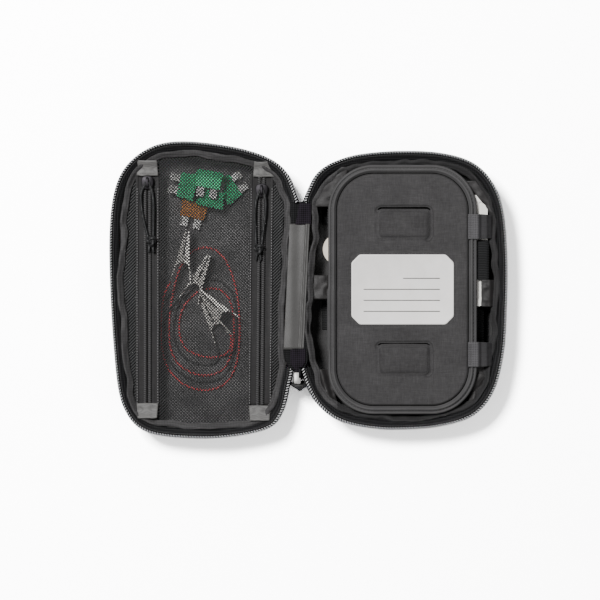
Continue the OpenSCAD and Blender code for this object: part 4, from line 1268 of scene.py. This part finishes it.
# Each tab's shift across and past the zip's end, for the left (0) or right (1) zip's two ends
TAB_SHIFTS = {(0, -1): (0, 0), (0, 1): (0, 0.2), (1, -1): (0, 1.8), (1, 1): (1.5, 0.2 - 0.8)}
tabs = Shape()
tab_stitches = Shape()
for number, zip_line in enumerate((LEFT_ZIP, RIGHT_ZIP)):
    for side in (-1, 1):
        shift, past = TAB_SHIFTS[number, side]
        x = zip_middle(zip_line, side * ZIP_END) + shift
        end = side * (ZIP_END + past)
        end_tab(tabs, x, end, side, 50 + number * 3 + side)
        y = end + side * 0.4
        line = [(x - 6.4, y, MESH_Z + 2.85), (x, y, MESH_Z + 3.1), (x + 6.4, y, MESH_Z + 2.85)]
        seam = stitches(line, 1.7, 1.1, 0.2)
        tab_stitches.add(seam.points, seam.faces)
piece("zip_end_tabs_satin", tabs, TAB, "lid", ["zip_end_tabs"])
piece("zip_end_tab_stitching", tab_stitches, THREAD, "lid")


def pocket_slider(side, zip_line):
    """A pocket zip's slider, and the cord loop with its knot that hangs from it."""
    node_name = f"pocket_slider_{side}"
    low, high = box_mm(node_name)
    y = (low[1] + high[1]) / 2
    place = (zip_middle(zip_line, y), y)
    slider(f"{node_name}_body", SLIDER, f"{side}_slider", [node_name], place, 8.6, 9.4,
           low[2] - 1.2, 0.9, high[2] - 2.6, high[2] - 0.3)
    pivot = joint_mm(f"{side}_pull_hinge")
    pull_low = box_mm(f"pull_cord_{side}")[0]
    x, z = place[0], pivot[2]
    end_y = pull_low[1] + 5.2
    lean = 2.6 if side == "left" else -2.3
    bow = {"left": (4.3, 3.4), "right": (3.8, 2.7)}[side]
    strands = []
    for hand, spread in zip((-1, 1), bow):
        strands.append([
            (x + hand * 0.9, y + 0.4, z + 0.2), (x + hand * 1.6, y - 1.6, z + 0.1),
            (x + hand * spread, y - 7, z - 0.3),
            (x + hand * spread * 1.12 + lean * 0.2, y - 16, z - 0.6),
            (x + hand * spread * 0.9 + lean * 0.45, y - 26, z - 0.7),
            (x + hand * 1.9 + lean * 0.85, end_y + 4.5, z - 0.5)
        ])
    pull_knot = Shape().add(*knot((x + lean, end_y + 1.5, z + 0.9), 4.6, 1.15))
    for hand in (-1, 1):
        tail = [(x + lean + hand * 0.5, end_y, z), (x + lean + hand * 1.3, end_y - 3.2, z - 0.2),
                (x + lean + hand * 1.7, end_y - 6.5, z - 0.6)]
        pull_knot.add(*braided(tail, 0.9))
    knot_piece = piece(f"pull_cord_{side}_knot", pull_knot, CORD, f"{side}_pull")
    turn = [(x + lean + across, end_y + up, z - 0.4) for across, up in ((-1.7, 2.4), (0, 0.8), (1.7, 2.4))]
    route = through(strands[0] + turn + strands[1][::-1], 1.0)
    cord_piece = piece(f"pull_cord_{side}_braid", braided(route, 0.95), CORD, f"{side}_pull",
                       [f"pull_cord_{side}"])


pocket_slider("left", LEFT_ZIP)
pocket_slider("right", RIGHT_ZIP)


# ------------------------------------------------------------------ the leads

LEAD_D = 1.4
LEAD_Z = 4.6
# The leads' routes, as [across from the spine's middle, along, height]. Without a height, a point is
# on the floor
RED_POINTS = [
    [-49.2, -31.3, 16.4], [-48, -35.4, 15.6], [-48.4, -40.4, 12.4], [-51.4, -45, 8.2],
    [-56.4, -47.6], [-63.6, -48.4], [-72, -46.6], [-79.6, -43.4],
    [-84.6, -36.4], [-86.2, -26.6], [-84.4, -16], [-79.4, -6.6],
    [-71.4, -0.6], [-62.6, 1.6], [-54, -0.4], [-49.4, -7.4],
    [-47.2, -16], [-46.6, -28], [-47.4, -41.4], [-50.8, -53],
    [-57.6, -59.4], [-67, -61.4], [-77, -59.4], [-86, -53.4],
    [-91.4, -44.6], [-93, -33], [-92.4, -18], [-90, -2],
    [-86.8, 11], [-82, 22], [-75, 28.6], [-66, 30.6],
    [-57.4, 27.4], [-51.4, 19.6], [-47.4, 9], [-44.2, -3],
    [-42.8, -17], [-42.4, -33], [-43.6, -48], [-47.4, -61],
    [-55.4, -69.2], [-67, -72], [-78.4, -69.6], [-89, -62.8],
    [-96, -52], [-98.4, -39], [-98.6, -25], [-98, -14, 5.6],
    [-96.6, -5.6, 9], [-94.2, 0.6, 13.4], [-91.8, 3.6, 16], [-91.2, 5.6, 16.4]
]
BLACK_POINTS = [
    [-58.6, -40.9, 6.3], [-57.6, -44.2, 6.6], [-57.4, -47.8, 6.7], [-59.6, -51.6, 5.8],
    [-65, -53.6], [-72.4, -52.8], [-80.6, -49.6], [-86.6, -42.6],
    [-89.6, -33.6], [-89.2, -21.6], [-86.4, -10], [-81.4, 0],
    [-74, 6], [-64, 7.8], [-54.6, 6], [-48, -0.6],
    [-45.2, -11], [-44.5, -24], [-45.2, -40], [-48.8, -53.8],
    [-54.6, -63], [-66.6, -66.2], [-78.6, -63.8], [-88.8, -56.8],
    [-94.6, -46.8], [-96, -34], [-95.4, -22], [-94, -15.4, 5.8],
    [-90.8, -12, 8.6], [-87.4, -9.8, 10.9], [-85.5, -6.9, 11.35]
]


def lead(name, node_name, points, material):
    """A clip lead as one open spline."""
    data = bpy.data.curves.new(name, "CURVE")
    data.dimensions = "3D"
    data.bevel_depth = LEAD_D / 2 * MM
    data.bevel_resolution = 3
    data.resolution_u = 6
    data.use_fill_caps = True
    spline = data.splines.new("NURBS")
    spline.points.add(len(points) - 1)
    for point, (x, y, *height) in zip(spline.points, points):
        z = height[0] if height else LEAD_Z
        point.co = ((HINGE_X + x) * MM, y * MM, z * MM, 1)
    spline.order_u = 4
    spline.use_endpoint_u = True
    data.materials.append(material)
    obj = bpy.data.objects.new(name, data)
    bpy.context.scene.collection.objects.link(obj)
    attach(obj, "lid")
    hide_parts(node_name)
    x, y, z = points[0]


lead("lead_red_wire", "lead_red", RED_POINTS, LEAD_RED)
lead("lead_black_wire", "lead_black", BLACK_POINTS, LEAD_BLACK)


# ------------------------------------------------------------------ CAD nodes that stay, and their materials

def finish_node(name, material, bevel):
    """A CAD node keeps its shape and gets its material and softened edges."""
    obj = frame["nodes"][name]
    if obj.data.materials:
        obj.data.materials[0] = material
    else:
        obj.data.materials.append(material)
    edge = obj.modifiers.new("edge", "BEVEL")
    edge.width = bevel * MM
    edge.segments = 2
    edge.limit_method = "ANGLE"
    edge.angle_limit = math.radians(40)


FINISHES = {
    "page_board": (PAGE_BOARD, 0.2),
    "probe_front_shell": (DEVICE, 1.0), "probe_rear_shell": (DEVICE, 1.0), "probe_tip": (DARK, 0.3),
    "probe_button": (DARK, 0.3), "probe_volume_wheel": (WHEEL, 0.5), "toner_front_shell": (DEVICE, 0.8),
    "toner_rear_shell": (DEVICE, 0.8), "toner_switch": (DARK, 0.3), "toner_terminals": (TERMINAL, 0.2),
    "circuit_boards": (BOARD, 0.1), "batteries": (BATTERY, 0.4), "status_leds": (LED, 0.3),
    "shell_screws": (STEEL, 0.15), "fuse_green_bodies": (GREEN, 0.45), "fuse_orange_body": (ORANGE, 0.45),
    "fuse_elements": (BLADE, 0.1), "clip_fixed_jaws": (CLIP, 0.12), "clip_a_jaw": (CLIP, 0.12),
    "clip_b_jaw": (CLIP, 0.12), "clip_c_jaw": (CLIP, 0.12), "clip_d_jaw": (CLIP, 0.12),
    "clip_pins_and_springs": (STEEL, 0.1),
}
for node_name, (material, bevel) in FINISHES.items():
    finish_node(node_name, material, bevel)


# ------------------------------------------------------------------ floor, light and camera

def stage():
    """A white paper floor, over-exposed as the camera sees it but not as the case does."""
    bpy.ops.mesh.primitive_plane_add(size=6, location=(0, 0, 0))
    floor = bpy.context.object
    floor.name = "floor"
    made = bpy.data.materials.new("floor_white")
    made.use_nodes = True
    made.node_tree.nodes.clear()
    seen = node(made, "ShaderNodeLightPath").outputs["Is Camera Ray"]
    dull = node(made, "ShaderNodeBsdfDiffuse", [("Color", (0.55, 0.55, 0.55, 1))]).outputs[0]
    bright = node(made, "ShaderNodeBsdfDiffuse", [("Color", (5.5, 5.5, 5.5, 1))]).outputs[0]
    paper = node(made, "ShaderNodeMixShader", [(0, seen), (1, dull), (2, bright)]).outputs[0]
    node(made, "ShaderNodeOutputMaterial", [("Surface", paper)])
    floor.data.materials.append(made)


def area_light(name, place, size, power):
    """A square lamp that points at the case."""
    data = bpy.data.lights.new(name, "AREA")
    data.size = size
    data.energy = power
    lamp = bpy.data.objects.new(name, data)
    lamp.location = place
    lamp.rotation_mode = "QUATERNION"
    lamp.rotation_quaternion = (-Vector(place)).to_track_quat("-Z", "Y")
    bpy.context.scene.collection.objects.link(lamp)


def lights():
    """A strong lamp from the upper left, a weak one opposite, and a dim white world."""
    area_light("key", (-0.75, 0.75, 1.9), 0.5, 100)
    area_light("fill", (1.1, -0.8, 1.6), 1.2, 6)
    world = bpy.data.worlds.new("studio")
    world.use_nodes = True
    world.node_tree.nodes["Background"].inputs[0].default_value = (1, 1, 1, 1)
    world.node_tree.nodes["Background"].inputs[1].default_value = 0.28
    bpy.context.scene.world = world


def camera():
    """Straight above the spine's middle, two metres over the zip's height."""
    data = bpy.data.cameras.new("camera")
    distance, seen_width, zip_height = 2.0, 0.42, 0.026
    data.sensor_width = 36
    data.lens = data.sensor_width * distance / seen_width
    obj = bpy.data.objects.new("camera", data)
    obj.location = (HINGE_X * MM, -0.00735, distance + zip_height)
    bpy.context.scene.collection.objects.link(obj)
    bpy.context.scene.camera = obj


stage()
lights()
camera()
